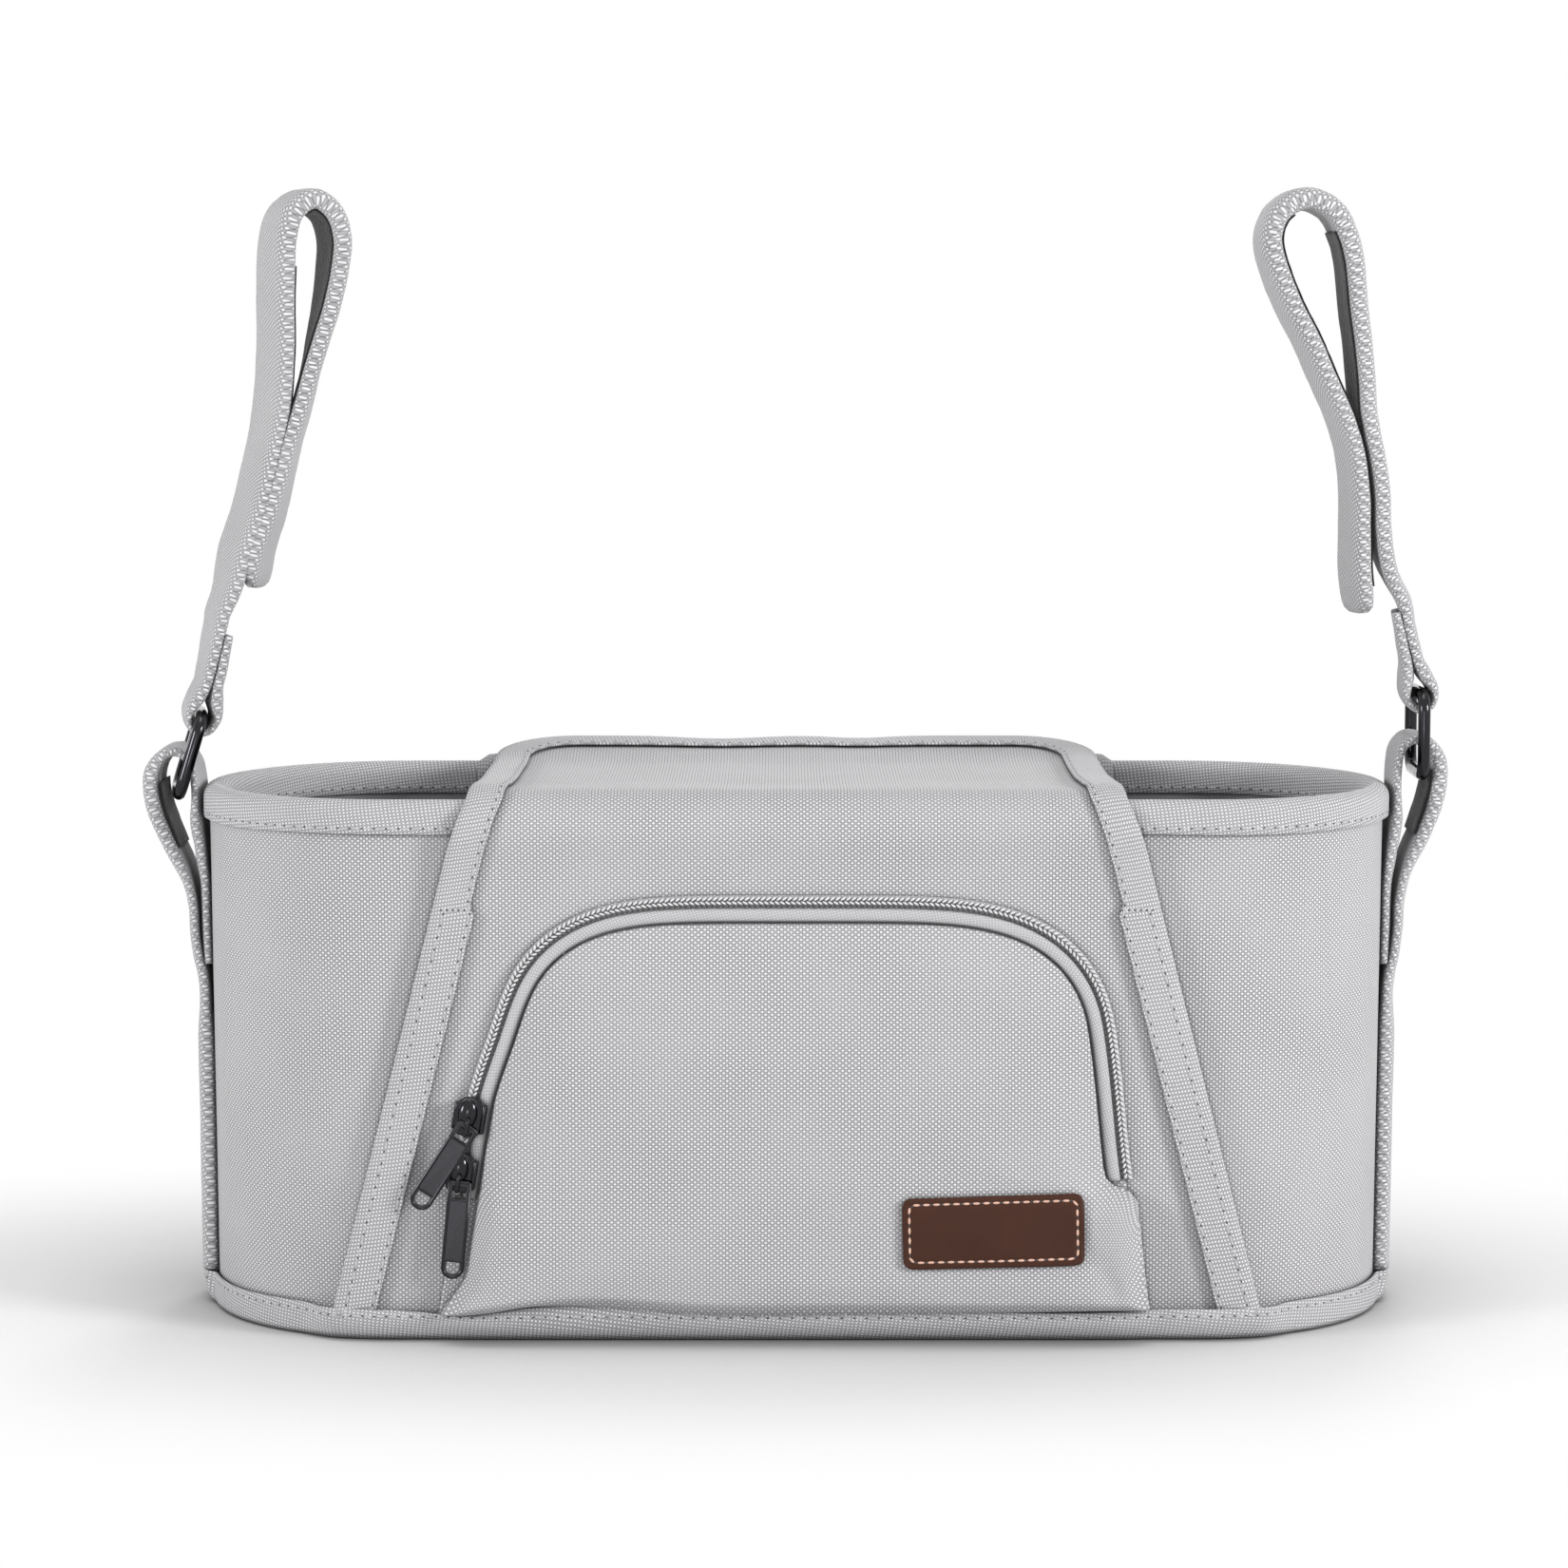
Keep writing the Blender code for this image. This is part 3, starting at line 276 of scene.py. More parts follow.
def weave(name, light, dark, gap, pitch, turn=0.0, relief=0.2, mottle=0.05, roughness=0.85, sheen=0.15,
          flat=0.2):
    """Plain-woven polyester: floats painted bright where raised, dark where sunk, with painted shade in the
    gaps.

    pitch is the spacing of the upright and of the level threads, and relief their height, in millimetres.
    flat is the share of an even tone that is laid over the threads where the cloth is brushed smooth.
    """
    if bpy.data.materials.get(name):
        return bpy.data.materials[name]
    material, tree, shader = new_material(name, roughness, Sheen_Weight=sheen, Sheen_Roughness=0.4,
                                          Specular_IOR_Level=0.25)
    cut = add_node(tree, "ShaderNodeUVMap", uv_map="thread")
    wobble = add_node(tree, "ShaderNodeTexNoise", {"Vector": cut.outputs[0], "Scale": 0.35, "Detail": 2.0})
    moved = add_node(tree, "ShaderNodeVectorMath", {0: wobble.outputs["Color"], 1: (0.35, 0.35, 0.0)},
                     operation="MULTIPLY")
    bent = add_node(tree, "ShaderNodeVectorMath", {0: cut.outputs[0], 1: moved.outputs[0]}, operation="ADD")
    threads = add_node(tree, "ShaderNodeMapping",
                       {"Vector": bent.outputs[0], "Rotation": (0.0, 0.0, turn),
                        "Scale": (math.pi / pitch[0], math.pi / pitch[1], 1.0)}, vector_type="POINT")
    parts = add_node(tree, "ShaderNodeSeparateXYZ", {0: threads.outputs[0]})
    across = add_node(tree, "ShaderNodeMath", {0: parts.outputs[0]}, operation="SINE")
    along = add_node(tree, "ShaderNodeMath", {0: parts.outputs[1]}, operation="SINE")
    over = add_node(tree, "ShaderNodeMath", {0: across.outputs[0], 1: along.outputs[0]}, operation="MULTIPLY")
    dome = add_node(tree, "ShaderNodeMath", {0: over.outputs[0]}, operation="ABSOLUTE")
    # Painted highlight and shade: the thread's tone follows its height, bright where raised, dark where it
    # sinks or leaves a gap.
    floats = add_node(tree, "ShaderNodeMapRange", {0: over.outputs[0], 1: -0.35, 2: 0.45, 3: 0.0, 4: 1.0})
    open_gap = add_node(tree, "ShaderNodeMapRange", {0: dome.outputs[0], 1: 0.0, 2: 0.4, 3: 0.0, 4: 1.0})
    thread = add_node(tree, "ShaderNodeMix", {0: floats.outputs[0], 6: dark, 7: light}, data_type="RGBA")
    cloth = add_node(tree, "ShaderNodeMix", {0: open_gap.outputs[0], 6: gap, 7: thread.outputs[2]},
                     data_type="RGBA")
    patches = add_node(tree, "ShaderNodeTexNoise", {"Vector": cut.outputs[0], "Scale": 0.028, "Detail": 3.0})
    brushed = add_node(tree, "ShaderNodeMapRange", {0: patches.outputs[0], 1: 0.38, 2: 0.66, 3: 0.5 * flat,
                                                    4: 1.7 * flat})
    even = mean_colour((light, 0.36), (dark, 0.36), (gap, 0.28))
    smooth = add_node(tree, "ShaderNodeMix", {0: brushed.outputs[0], 6: cloth.outputs[2], 7: even},
                      data_type="RGBA")
    yarns = add_node(tree, "ShaderNodeTexNoise", {"Vector": cut.outputs[0], "Scale": 1.3, "Detail": 1.0})
    both = add_node(tree, "ShaderNodeMath", {0: patches.outputs[0], 1: yarns.outputs[0]}, operation="ADD")
    tone = add_node(tree, "ShaderNodeMapRange", {0: both.outputs[0], 1: 0.6, 2: 1.4, 3: 1.0 - mottle,
                                                 4: 1.0 + mottle})
    # Painted shade in narrow seams and gaps, multiplied into the weave's random tone.
    shade = add_node(tree, "ShaderNodeMath", {0: tone.outputs[0], 1: painted_crease_shade(tree, 2.6, 0.32).outputs[0]},
                     operation="MULTIPLY")
    toned = add_node(tree, "ShaderNodeVectorMath", {0: smooth.outputs[2], "Scale": shade.outputs[0]},
                     operation="SCALE")
    height = add_node(tree, "ShaderNodeMath", {0: floats.outputs[0], 1: dome.outputs[0]},
                      operation="MULTIPLY")
    bump = add_node(tree, "ShaderNodeBump",
                    {"Height": height.outputs[0], "Strength": 0.6, "Distance": relief * MM})
    tree.links.new(toned.outputs[0], shader.inputs["Base Color"])
    tree.links.new(bump.outputs[0], shader.inputs["Normal"])
    return material


def grey_weave(name, gap, pitch, **settings):
    """A weave in the bag's two greys, painted lit on its raised threads and shaded on its sunk ones."""
    light = tuple(colours().cloth_light)
    dark = tuple(colours().cloth_dark)
    return weave(name, light, dark, linear(gap), pitch, **settings)


def bag_cloth():
    """The bag's cloth: light grey threads, a little brushed, with painted shade in the gaps between them."""
    return grey_weave("Woven polyester", "#5D5C60", (sizes().thread_pitch, sizes().row_pitch))


def bias_tape():
    """The same cloth cut aslant for the tapes, pulled a little tighter."""
    return grey_weave("Bias-cut polyester tape", "#6B6A6E", (0.82, 0.68), turn=math.radians(38), relief=0.17,
                      flat=0.15)


def strap_cloth():
    """The bag's woven cloth again, folded aslant over the padding of the straps."""
    return grey_weave("Woven polyester over padding", "#59585B", (0.88, 0.72), turn=math.radians(24),
                      flat=0.18)


def lining_cloth():
    """Calendered lining: fine, smooth and a little shiny."""
    return weave("Satin lining", linear("#B3B1B6"), linear("#A09EA3"), linear("#8B898F"), (0.4, 0.4),
                 relief=0.05, roughness=0.45, sheen=0.3)


def zip_cloth():
    """Zip tape: finer and tighter than the bag's cloth, so it shows hardly any gaps."""
    return weave("Woven zip tape", linear("#D3D2D4"), linear("#B2B1B3"), linear("#8C8B8E"), (0.62, 0.55),
                 turn=math.radians(30), relief=0.08, mottle=0.04)


def grained(name, texture, scale, low, high, roughness, relief=None, **shader_values):
    """A surface whose tone runs between two colours over a fine texture, in grains to the metre.

    relief is the strength and the depth, in metres, of the bumps that follow the same texture.
    """
    if bpy.data.materials.get(name):
        return bpy.data.materials[name]
    material, tree, shader = new_material(name, roughness, **shader_values)
    place = add_node(tree, "ShaderNodeTexCoord")
    grain = add_node(tree, texture, {"Vector": place.outputs["Object"], "Scale": scale})
    tone = add_node(tree, "ShaderNodeMix", {0: grain.outputs[0], 6: linear(low), 7: linear(high)},
                    data_type="RGBA")
    tree.links.new(tone.outputs[2], shader.inputs["Base Color"])
    if relief:
        bump = add_node(tree, "ShaderNodeBump",
                        {"Height": grain.outputs[0], "Strength": relief[0], "Distance": relief[1]})
        tree.links.new(bump.outputs[0], shader.inputs["Normal"])
    return material


def hook_tape():
    """Nylon hook tape: black, and furry with small hooks, so it has hardly any shine."""
    return grained("Nylon hook tape", "ShaderNodeTexVoronoi", 900.0, "#2B2B2D", "#0C0C0D", 0.9, (0.8, 0.0004),
                   Sheen_Weight=0.3)


def coil_nylon():
    """The zip's coil: drawn nylon, pale grey with a soft shine."""
    name = "Drawn nylon"
    if bpy.data.materials.get(name):
        return bpy.data.materials[name]
    material, tree, shader = new_material(name, 0.5)
    place = add_node(tree, "ShaderNodeTexCoord")
    cloud = add_node(tree, "ShaderNodeTexNoise", {"Vector": place.outputs["Object"], "Scale": 700.0})
    tone = add_node(tree, "ShaderNodeMix", {0: cloud.outputs[0], 6: linear("#CBCACC"), 7: linear("#E6E5E7")},
                    data_type="RGBA")
    # Painted shade darkens the coil between its teeth and along its tapes.
    seams = painted_crease_shade(tree, 1.4, 0.3)
    toned = add_node(tree, "ShaderNodeVectorMath", {0: tone.outputs[2], "Scale": seams.outputs[0]},
                     operation="SCALE")
    tree.links.new(toned.outputs[0], shader.inputs["Base Color"])
    return material


def spun_thread(name, light, dark):
    """Spun polyester thread, matt, with its twist showing as a fine change of tone."""
    return grained(name, "ShaderNodeTexNoise", 1500.0, dark, light, 0.8, Sheen_Weight=0.2)


def cloth_thread():
    """The grey thread of the bag's seams, a little lighter than the cloth."""
    return spun_thread("Spun polyester thread", "#D2D0D3", "#A19FA3")


def waxed_thread():
    """The label's thread: thick, waxed and peach coloured."""
    return spun_thread("Waxed peach thread", "#E9C3AF", "#C99A85")


def painted_hole_shade():
    """Painted shade: a dark bead set in a needle's hole, in place of the shade at its bottom."""
    return spun_thread("Needle hole", "#454347", "#2F2E31")


def black_nickel():
    """Zinc castings and steel wire, polished and plated with black nickel: dark, with sharp reflections."""
    name = "Black nickel plate"
    if bpy.data.materials.get(name):
        return bpy.data.materials[name]
    material, tree, shader = new_material(name, 0.16, Metallic=1.0)
    place = add_node(tree, "ShaderNodeTexCoord")
    wear = add_node(tree, "ShaderNodeTexNoise",
                    {"Vector": place.outputs["Object"], "Scale": 260.0, "Detail": 4.0})
    rough = add_node(tree, "ShaderNodeMapRange", {0: wear.outputs[0], 1: 0.35, 2: 0.7, 3: 0.08, 4: 0.2})
    metal = tuple(colours().metal)
    worn = mean_colour((metal, 0.8))
    tone = add_node(tree, "ShaderNodeMix", {0: wear.outputs[0], 6: metal, 7: worn}, data_type="RGBA")
    tree.links.new(tone.outputs[2], shader.inputs["Base Color"])
    tree.links.new(rough.outputs[0], shader.inputs["Roughness"])
    return material


def blasted_nickel():
    """The sunk panel of a zip pull: the same plate on a blasted surface, so it is matt."""
    return grained("Blasted black nickel", "ShaderNodeTexNoise", 2500.0, "#38383B", "#4A4A4D", 0.45,
                   (0.3, 0.0001), Metallic=1.0)


def label_leather():
    """Dyed cowhide with a fine pebble grain and a little shine, its tone changing in soft clouds."""
    name = "Dyed cowhide"
    if bpy.data.materials.get(name):
        return bpy.data.materials[name]
    material, tree, shader = new_material(name, 0.55, Specular_IOR_Level=0.15)
    place = add_node(tree, "ShaderNodeTexCoord")
    grain = add_node(tree, "ShaderNodeTexVoronoi", {"Vector": place.outputs["Object"], "Scale": 1100.0})
    cloud = add_node(tree, "ShaderNodeTexNoise",
                     {"Vector": place.outputs["Object"], "Scale": 90.0, "Detail": 5.0})
    dark = mean_colour((colours().leather, 0.78))
    light = mean_colour((colours().leather, 1.22))
    tone = add_node(tree, "ShaderNodeMix", {0: cloud.outputs[0], 6: dark, 7: light}, data_type="RGBA")
    shine = add_node(tree, "ShaderNodeMapRange", {0: cloud.outputs[0], 1: 0.3, 2: 0.7, 3: 0.42, 4: 0.62})
    bump = add_node(tree, "ShaderNodeBump",
                    {"Height": grain.outputs[0], "Strength": 0.35, "Distance": 0.00012})
    tree.links.new(tone.outputs[2], shader.inputs["Base Color"])
    tree.links.new(shine.outputs[0], shader.inputs["Roughness"])
    tree.links.new(bump.outputs[0], shader.inputs["Normal"])
    return material


def pressed_board():
    """The stiffener in the base: black pressed plastic board, hidden between the cloths."""
    return grained("Pressed plastic board", "ShaderNodeTexNoise", 300.0, "#1B1B1C", "#2A2A2B", 0.7)


# Making and shaping pieces

def select_only(*objects):
    """Deselect everything, then select these objects, with the first one active."""
    bpy.ops.object.select_all(action="DESELECT")
    for obj in objects:
        obj.select_set(True)
    bpy.context.view_layer.objects.active = objects[0]


def apply_modifiers(obj):
    """Apply all of a piece's modifiers in their order."""
    select_only(obj)
    for modifier in list(obj.modifiers):
        bpy.ops.object.modifier_apply(modifier=modifier.name)


def apply_place(obj):
    """Put a piece's place, turn and scale into its mesh."""
    select_only(obj)
    bpy.ops.object.transform_apply(location=True, rotation=True, scale=True)


def merge_closed(obj, outwards=True):
    """Merge what meets, and turn a closed piece's faces outwards."""
    select_only(obj)
    bpy.ops.object.mode_set(mode="EDIT")
    bpy.ops.mesh.select_all(action="SELECT")
    bpy.ops.mesh.remove_doubles(threshold=1e-6)
    if outwards:
        bpy.ops.mesh.normals_make_consistent(inside=False)
    bpy.ops.object.mode_set(mode="OBJECT")


def shaped_grid(name, across, up, place, lay, closed=False):
    """A grid shaped by place(u, v); lay(u, v) gives its flat cut for the weave. Both are in millimetres."""
    bpy.ops.object.select_all(action="DESELECT")
    bpy.ops.mesh.primitive_grid_add(x_subdivisions=across, y_subdivisions=up, size=1.0)
    obj = bpy.context.active_object
    obj.name = name
    mesh = obj.data
    spots = [(vert.co.x + 0.5, vert.co.y + 0.5) for vert in mesh.vertices]
    layer = mesh.uv_layers[0]
    layer.name = "thread"
    for loop in mesh.loops:
        layer.data[loop.index].uv = lay(*spots[loop.vertex_index])
    for vert, spot in zip(mesh.vertices, spots):
        vert.co = place(*spot) * MM
    if closed:
        merge_closed(obj)
    select_only(obj)
    bpy.ops.object.shade_smooth()
    return obj


def face_towards(obj, direction):
    """Turn an open sheet so that its first face looks towards a direction."""
    obj.data.update()
    if obj.data.polygons[0].normal.dot(Vector(direction)) >= 0:
        return
    select_only(obj)
    bpy.ops.object.mode_set(mode="EDIT")
    bpy.ops.mesh.select_all(action="SELECT")
    bpy.ops.mesh.flip_normals()
    bpy.ops.object.mode_set(mode="OBJECT")


def give_thickness(obj, thickness):
    """Give a sheet its thickness, in millimetres, on the inside."""
    solid = obj.modifiers.new("Thickness", "SOLIDIFY")
    solid.thickness = thickness * MM
    solid.offset = -1.0
    solid.use_even_offset = True
    apply_modifiers(obj)


def dress(obj, material, body, *nodes):
    """Give a finished piece its material and its body, and let it stand for CAD nodes."""
    obj.data.materials.clear()
    obj.data.materials.append(material)
    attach(obj, body)
    if nodes:
        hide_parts(*nodes)
    return obj


def path_lengths(points):
    """The length along a line of points up to each of them."""
    lengths = [0.0]
    for start, end in zip(points, points[1:]):
        lengths.append(lengths[-1] + (Vector(end) - Vector(start)).length)
    return lengths


def at_length(points, lengths, reach):
    """The point and the direction at a length along a line of points."""
    index = 0
    while index < len(points) - 2 and lengths[index + 1] < reach:
        index += 1
    start = Vector(points[index])
    end = Vector(points[index + 1])
    span = lengths[index + 1] - lengths[index]
    share = (reach - lengths[index]) / span if span else 0.0
    return start.lerp(end, share), (end - start).normalized()


def resample(points, count):
    """The same line cut into a count of equal lengths."""
    lengths = path_lengths(points)
    return [at_length(points, lengths, lengths[-1] * i / count)[0] for i in range(count + 1)]


def smooth_path(points, steps):
    """A Catmull-Rom curve through the points, with steps to a span."""
    padded = [points[0]] + list(points) + [points[-1]]
    result = []
    for i in range(1, len(padded) - 2):
        before, start, end, after = padded[i - 1:i + 3]
        for step in range(steps):
            t = step / steps
            result.append(tuple(
                0.5 * (2 * b + (c - a) * t + (2 * a - 5 * b + 4 * c - d) * t * t
                       + (3 * b - a - 3 * c + d) * t ** 3)
                for a, b, c, d in zip(before, start, end, after)))
    result.append(tuple(points[-1]))
    return result


def soften_corners(points, reach, rounds):
    """Cut each corner of an open line by at most a reach, again and again."""
    for _ in range(rounds):
        cut = [points[0]]
        for start, end in zip(points, points[1:]):
            start = Vector(start)
            end = Vector(end)
            share = min(0.25, reach / max((end - start).length, 0.001))
            cut.append(tuple(start.lerp(end, share)))
            cut.append(tuple(end.lerp(start, share)))
        cut.append(points[-1])
        points = cut
        reach *= 0.5
    return points


def repeat_along(name, template, line, pitch, host=None, lift=0.0, start=0.5, sway=0.0):
    """Set copies of a template along a line in millimetres, as one piece.

    They lie flat on the host's surface, or face the front where there is none, turned by sway in radians.
    """
    lengths = path_lengths(line)
    count = int(lengths[-1] / pitch - start)
    copies = []
    for index in range(count + 1):
        reach = (index + start) * pitch
        if reach > lengths[-1]:
            break
        spot, along = at_length(line, lengths, reach)
        if host is None:
            place = spot * MM
            normal = Vector((0, -1, 0))
        else:
            place, normal = host.closest_point_on_mesh(spot * MM)[1:3]
        along = (along - normal * along.dot(normal)).normalized()
        side = normal.cross(along)
        turn = Matrix((along, side, normal)).transposed().to_4x4()
        if sway:
            turn = turn @ Matrix.Rotation(sway, 4, "Z")
        mesh = template.data.copy()
        mesh.transform(Matrix.Translation(place + normal * lift * MM) @ turn)
        copy = bpy.data.objects.new(name, mesh)
        bpy.context.collection.objects.link(copy)
        copies.append(copy)
    select_only(*copies)
    if len(copies) > 1:
        bpy.ops.object.join()
    joined = bpy.context.view_layer.objects.active
    joined.name = name
    return joined


def bead(name, length, width, height, around=6, rings=4):
    """A small rounded template: a ball stretched to its size, in millimetres."""
    bpy.ops.object.select_all(action="DESELECT")
    bpy.ops.mesh.primitive_uv_sphere_add(segments=around, ring_count=rings, radius=0.5)
    obj = bpy.context.active_object
    obj.name = name
    obj.rotation_euler = (0, math.pi / 2, 0)
    apply_place(obj)
    obj.scale = (length * MM, width * MM, height * MM)
    apply_place(obj)
    bpy.ops.object.shade_smooth()
    return obj


def sew(name, line, host, body, pitch=None, thread=None, length=0.72, width=0.55):
    """A row of stitches along a line over a piece, with painted shade in the needle hole between one stitch
    and the next.

    length is a stitch's share of the pitch, and width its breadth in millimetres.
    """
    pitch = pitch or sizes().stitch_pitch
    stitch = bead("stitch", pitch * length, width, 0.4)
    hole = bead("hole", 0.85, 0.55, 0.3, 6, 3)
    row = repeat_along(name + "_stitches", stitch, line, pitch, host, 0.02)
    dress(row, thread or cloth_thread(), body)
    # Painted shade: a dark bead in each needle hole between the stitches.
    holes = repeat_along(name + "_needle_holes", hole, line, pitch, host, 0.02, start=0.0)
    dress(holes, painted_hole_shade(), body)
    for template in (stitch, hole):
        bpy.data.objects.remove(template, do_unlink=True)


# Plan of the bag

def half_length(z):
    """Half the bag's length at a height: it is a little shorter at its base."""
    return HALF_LENGTH - BASE_TAPER / 2 * (1 - z / BODY_HEIGHT)


def plan_point(around, z, out):
    """A point on the bag's outline, moved out; around is the length from the left end past the front."""
    around %= ROUND
    turn = 1 if around <= HALF_ROUND else -1
    if turn < 0:
        around -= HALF_ROUND
    straight = half_length(z) - END_ROUND
    across = END_ROUND + out
    deep = HALF_DEPTH + out
    if around < END_ARC:
        angle = math.pi / 2 * around / END_ARC
        x = -straight - across * math.cos(angle)
        y = -deep * math.sin(angle)
    elif around <= END_ARC + SIDE_RUN:
        x = -straight + 2 * straight * (around - END_ARC) / SIDE_RUN
        y = -deep
    else:
        angle = math.pi / 2 * (HALF_ROUND - around) / END_ARC
        x = straight + across * math.cos(angle)
        y = -deep * math.sin(angle)
    return Vector((turn * x, turn * y, z))


def step_up(value, low, high):
    """A smooth step from 0 at low to 1 at high."""
    t = min(max((value - low) / (high - low), 0.0), 1.0)
    return t * t * (3 - 2 * t)


def wall_out(around, z):
    """How far the padded wall stands out: a slow swell and the ripples of cloth over foam."""
    spot = plan_point(around, z, 0)
    under_strap = 1 - step_up(abs(spot.y), 11, 24)
    rise = math.sin(math.pi * min(max(z / (BODY_HEIGHT - 11), 0.0), 1.0)) * (1 - under_strap)
    ripple = noise.noise(Vector((around * 0.017, z * 0.013, 2.0)))
    small = noise.noise(Vector((around * 0.06, z * 0.035, 7.0)))
    swell = sizes().wall_swell * rise * (0.65 + 0.9 * ripple) + 0.28 * small * rise
    behind_lid = spot.y < 0 and abs(spot.x) < 128
    return min(swell, 0.9) if behind_lid else swell


def foot_wave(x):
    """How far the tape's top edge and the pocket's foot are pulled up or down along the front."""
    return 2.2 * math.exp(-((x + 62) / 26) ** 2) - 1.8 * math.exp(-((x + 97) / 15) ** 2)


def ring_of(name, section, lay_height, node, swell):
    """Carry a closed section of (out, z) points round the plan, as a tape; swell moves each point."""
    ring = section + section[:1]
    marks = path_lengths(ring)

    def place(u, v):
        around = u * ROUND
        out, z = swell(around, *ring[round(v * (len(ring) - 1))])
        return plan_point(around, z, out)

    def lay(u, v):
        return (u * ROUND, marks[round(v * (len(ring) - 1))] + lay_height)

    obj = shaped_grid(name, 2 * PLAN_STEPS, len(ring) - 1, place, lay, closed=True)
    return dress(obj, bias_tape(), "bag", node)


def arc(cx, cz, radius, start, end, steps):
    """Points on a circle's arc, between two angles in degrees."""
    points = []
    for step in range(steps + 1):
        angle = math.radians(start + (end - start) * step / steps)
        points.append((cx + radius * math.cos(angle), cz + radius * math.sin(angle)))
    return points


def plan_line(z, out):
    """The closed line round the bag at a height, moved out from its outline."""
    count = int(ROUND / 4.0)
    return [plan_point(ROUND * i / count, z, out) for i in range(count + 1)]


# The lid is flat across and bent along a line of (y, z) points

def lid_profile():
    """The lid's bent line from its foot up the front, over the top and past the rear rim."""
    front = -LID_FRONT
    step = front - 1.3
    top = BODY_HEIGHT + LID_LIFT
    rear = HALF_DEPTH
    rim = BODY_HEIGHT - RIM_TAPE_HEIGHT
    points = [(front, LID_FOOT), (front, 40.0), (front, POCKET_SHOULDER), (front, rim - 8.0),
              (step, rim - 1.5)]
    points += [(step + 12.5 - 12.5 * math.cos(angle), top - 12.5 + 12.3 * math.sin(angle))
               for angle in (0.15, 0.5, 0.85, 1.2, 1.5)]
    points += [(step + 22, top - 0.3), (step + 52, top - 1.6), (rear - 40, top - 1.6), (rear - 20, top - 1.2),
               (rear + LID_OVERHANG, top + 2.8)]
    return soften_corners(points, 3.0, 3)


LID_PATH = lid_profile()
LID_STATIONS = path_lengths(LID_PATH)
LID_LENGTH = LID_STATIONS[-1]
LID_RIM_REACH = BODY_HEIGHT + 1.0 - LID_FOOT


def lid_half_width(s):
    """Half the lid's width at a length s along it: it tapers to the rim, and its rear corners are round."""
    rise = min(s / LID_RIM_REACH, 1.0)
    half = (LID_BASE_WIDTH + (LID_RIM_WIDTH - LID_BASE_WIDTH) * rise) / 2
    half -= LID_NARROWING * step_up(s, LID_RIM_REACH - 18, LID_RIM_REACH + 22)
    corner = s - (LID_LENGTH - LID_CORNER)
    if corner > 0:
        half -= LID_CORNER - math.sqrt(max(LID_CORNER ** 2 - corner ** 2, 0.0))
    return half


def lid_crease(x, s):
    """The lid's slow ripples; on its top it sags a little between its edges."""
    over_top = step_up(s, LID_RIM_REACH, LID_RIM_REACH + 25)
    over_top *= 1 - step_up(s, LID_LENGTH - 30, LID_LENGTH - 8)
    ripple = noise.noise(Vector((x * 0.02, s * 0.022, 4.0)))
    ripple += 0.4 * noise.noise(Vector((x * 0.05, s * 0.05, 9.0)))
    sag = -0.9 * over_top * (1 - (x / 97) ** 2)
    front = 1 - step_up(s, LID_RIM_REACH - 15, LID_RIM_REACH)
    above_pocket = front * step_up(s, POCKET_TOP + 4 - LID_FOOT, POCKET_TOP + 20 - LID_FOOT)
    rear_edge = step_up(s, LID_LENGTH - 16, LID_LENGTH)
    dips = math.exp(-((x + 24) / 17) ** 2) + 0.8 * math.exp(-((x - 20) / 12) ** 2)
    wavy = 0.5 * ripple * (0.25 * front + over_top) + 0.3 * above_pocket * ripple
    return sag + wavy - rear_edge * dips


def lid_point(x, s, lift):
    """The point at x and at length s along the lid's outer side, lifted off it."""
    beyond = max(s - LID_LENGTH, 0.0)
    s = min(max(s, 0.0), LID_LENGTH)
    spot = at_length(LID_PATH, LID_STATIONS, s)[0]
    before = at_length(LID_PATH, LID_STATIONS, max(s - 0.8, 0.0))[0]
    after = at_length(LID_PATH, LID_STATIONS, min(s + 0.8, LID_LENGTH))[0]
    along = (after - before).normalized()
    normal = Vector((-along.y, along.x))
    spot = spot + normal * (lift + lid_crease(x, s)) + along * beyond
    return Vector((x, spot.x, spot.y))


def lid_tape_width(s):
    """How far the folded tape covers the lid: it is wider below the bar tack, where it lies doubled."""
    return 9.6 + 1.9 * (1 - step_up(s, BAR_TACK - LID_FOOT - 0.5, BAR_TACK - LID_FOOT + 0.5))


def lid_edge(steps=150):
    """The lid's edge as (x, s, away) from the left foot round the rear to the right foot."""
    left = []
    straight = LID_LENGTH - LID_CORNER
    for step in range(steps + 1):
        s = straight * step / steps
        left.append((-lid_half_width(s), s, Vector((-1, 0))))
    for step in range(1, 13):
        angle = math.pi / 2 * step / 12
        away = Vector((-math.cos(angle), math.sin(angle)))
        left.append((-(LID_RIM_WIDTH / 2 - LID_NARROWING - LID_CORNER) + away.x * LID_CORNER,
                     straight + away.y * LID_CORNER, away))
    span = LID_RIM_WIDTH - 2 * (LID_CORNER + LID_NARROWING)
    middle = [(-span / 2 + span * i / 36, LID_LENGTH, Vector((0, 1))) for i in range(1, 36)]
    right = [(-x, s, Vector((-away.x, away.y))) for x, s, away in reversed(left)]
    return left + middle + right


def lid_tape_seam():
    """The line of the stitches over the lid's tape, inside its inner edge."""
    line = []
    for x, s, away in lid_edge(60):
        inset = lid_tape_width(s) - 1.3
        line.append(lid_point(x - away.x * inset, s - away.y * inset, SEAM_LIFT))
    return line


# The front pocket

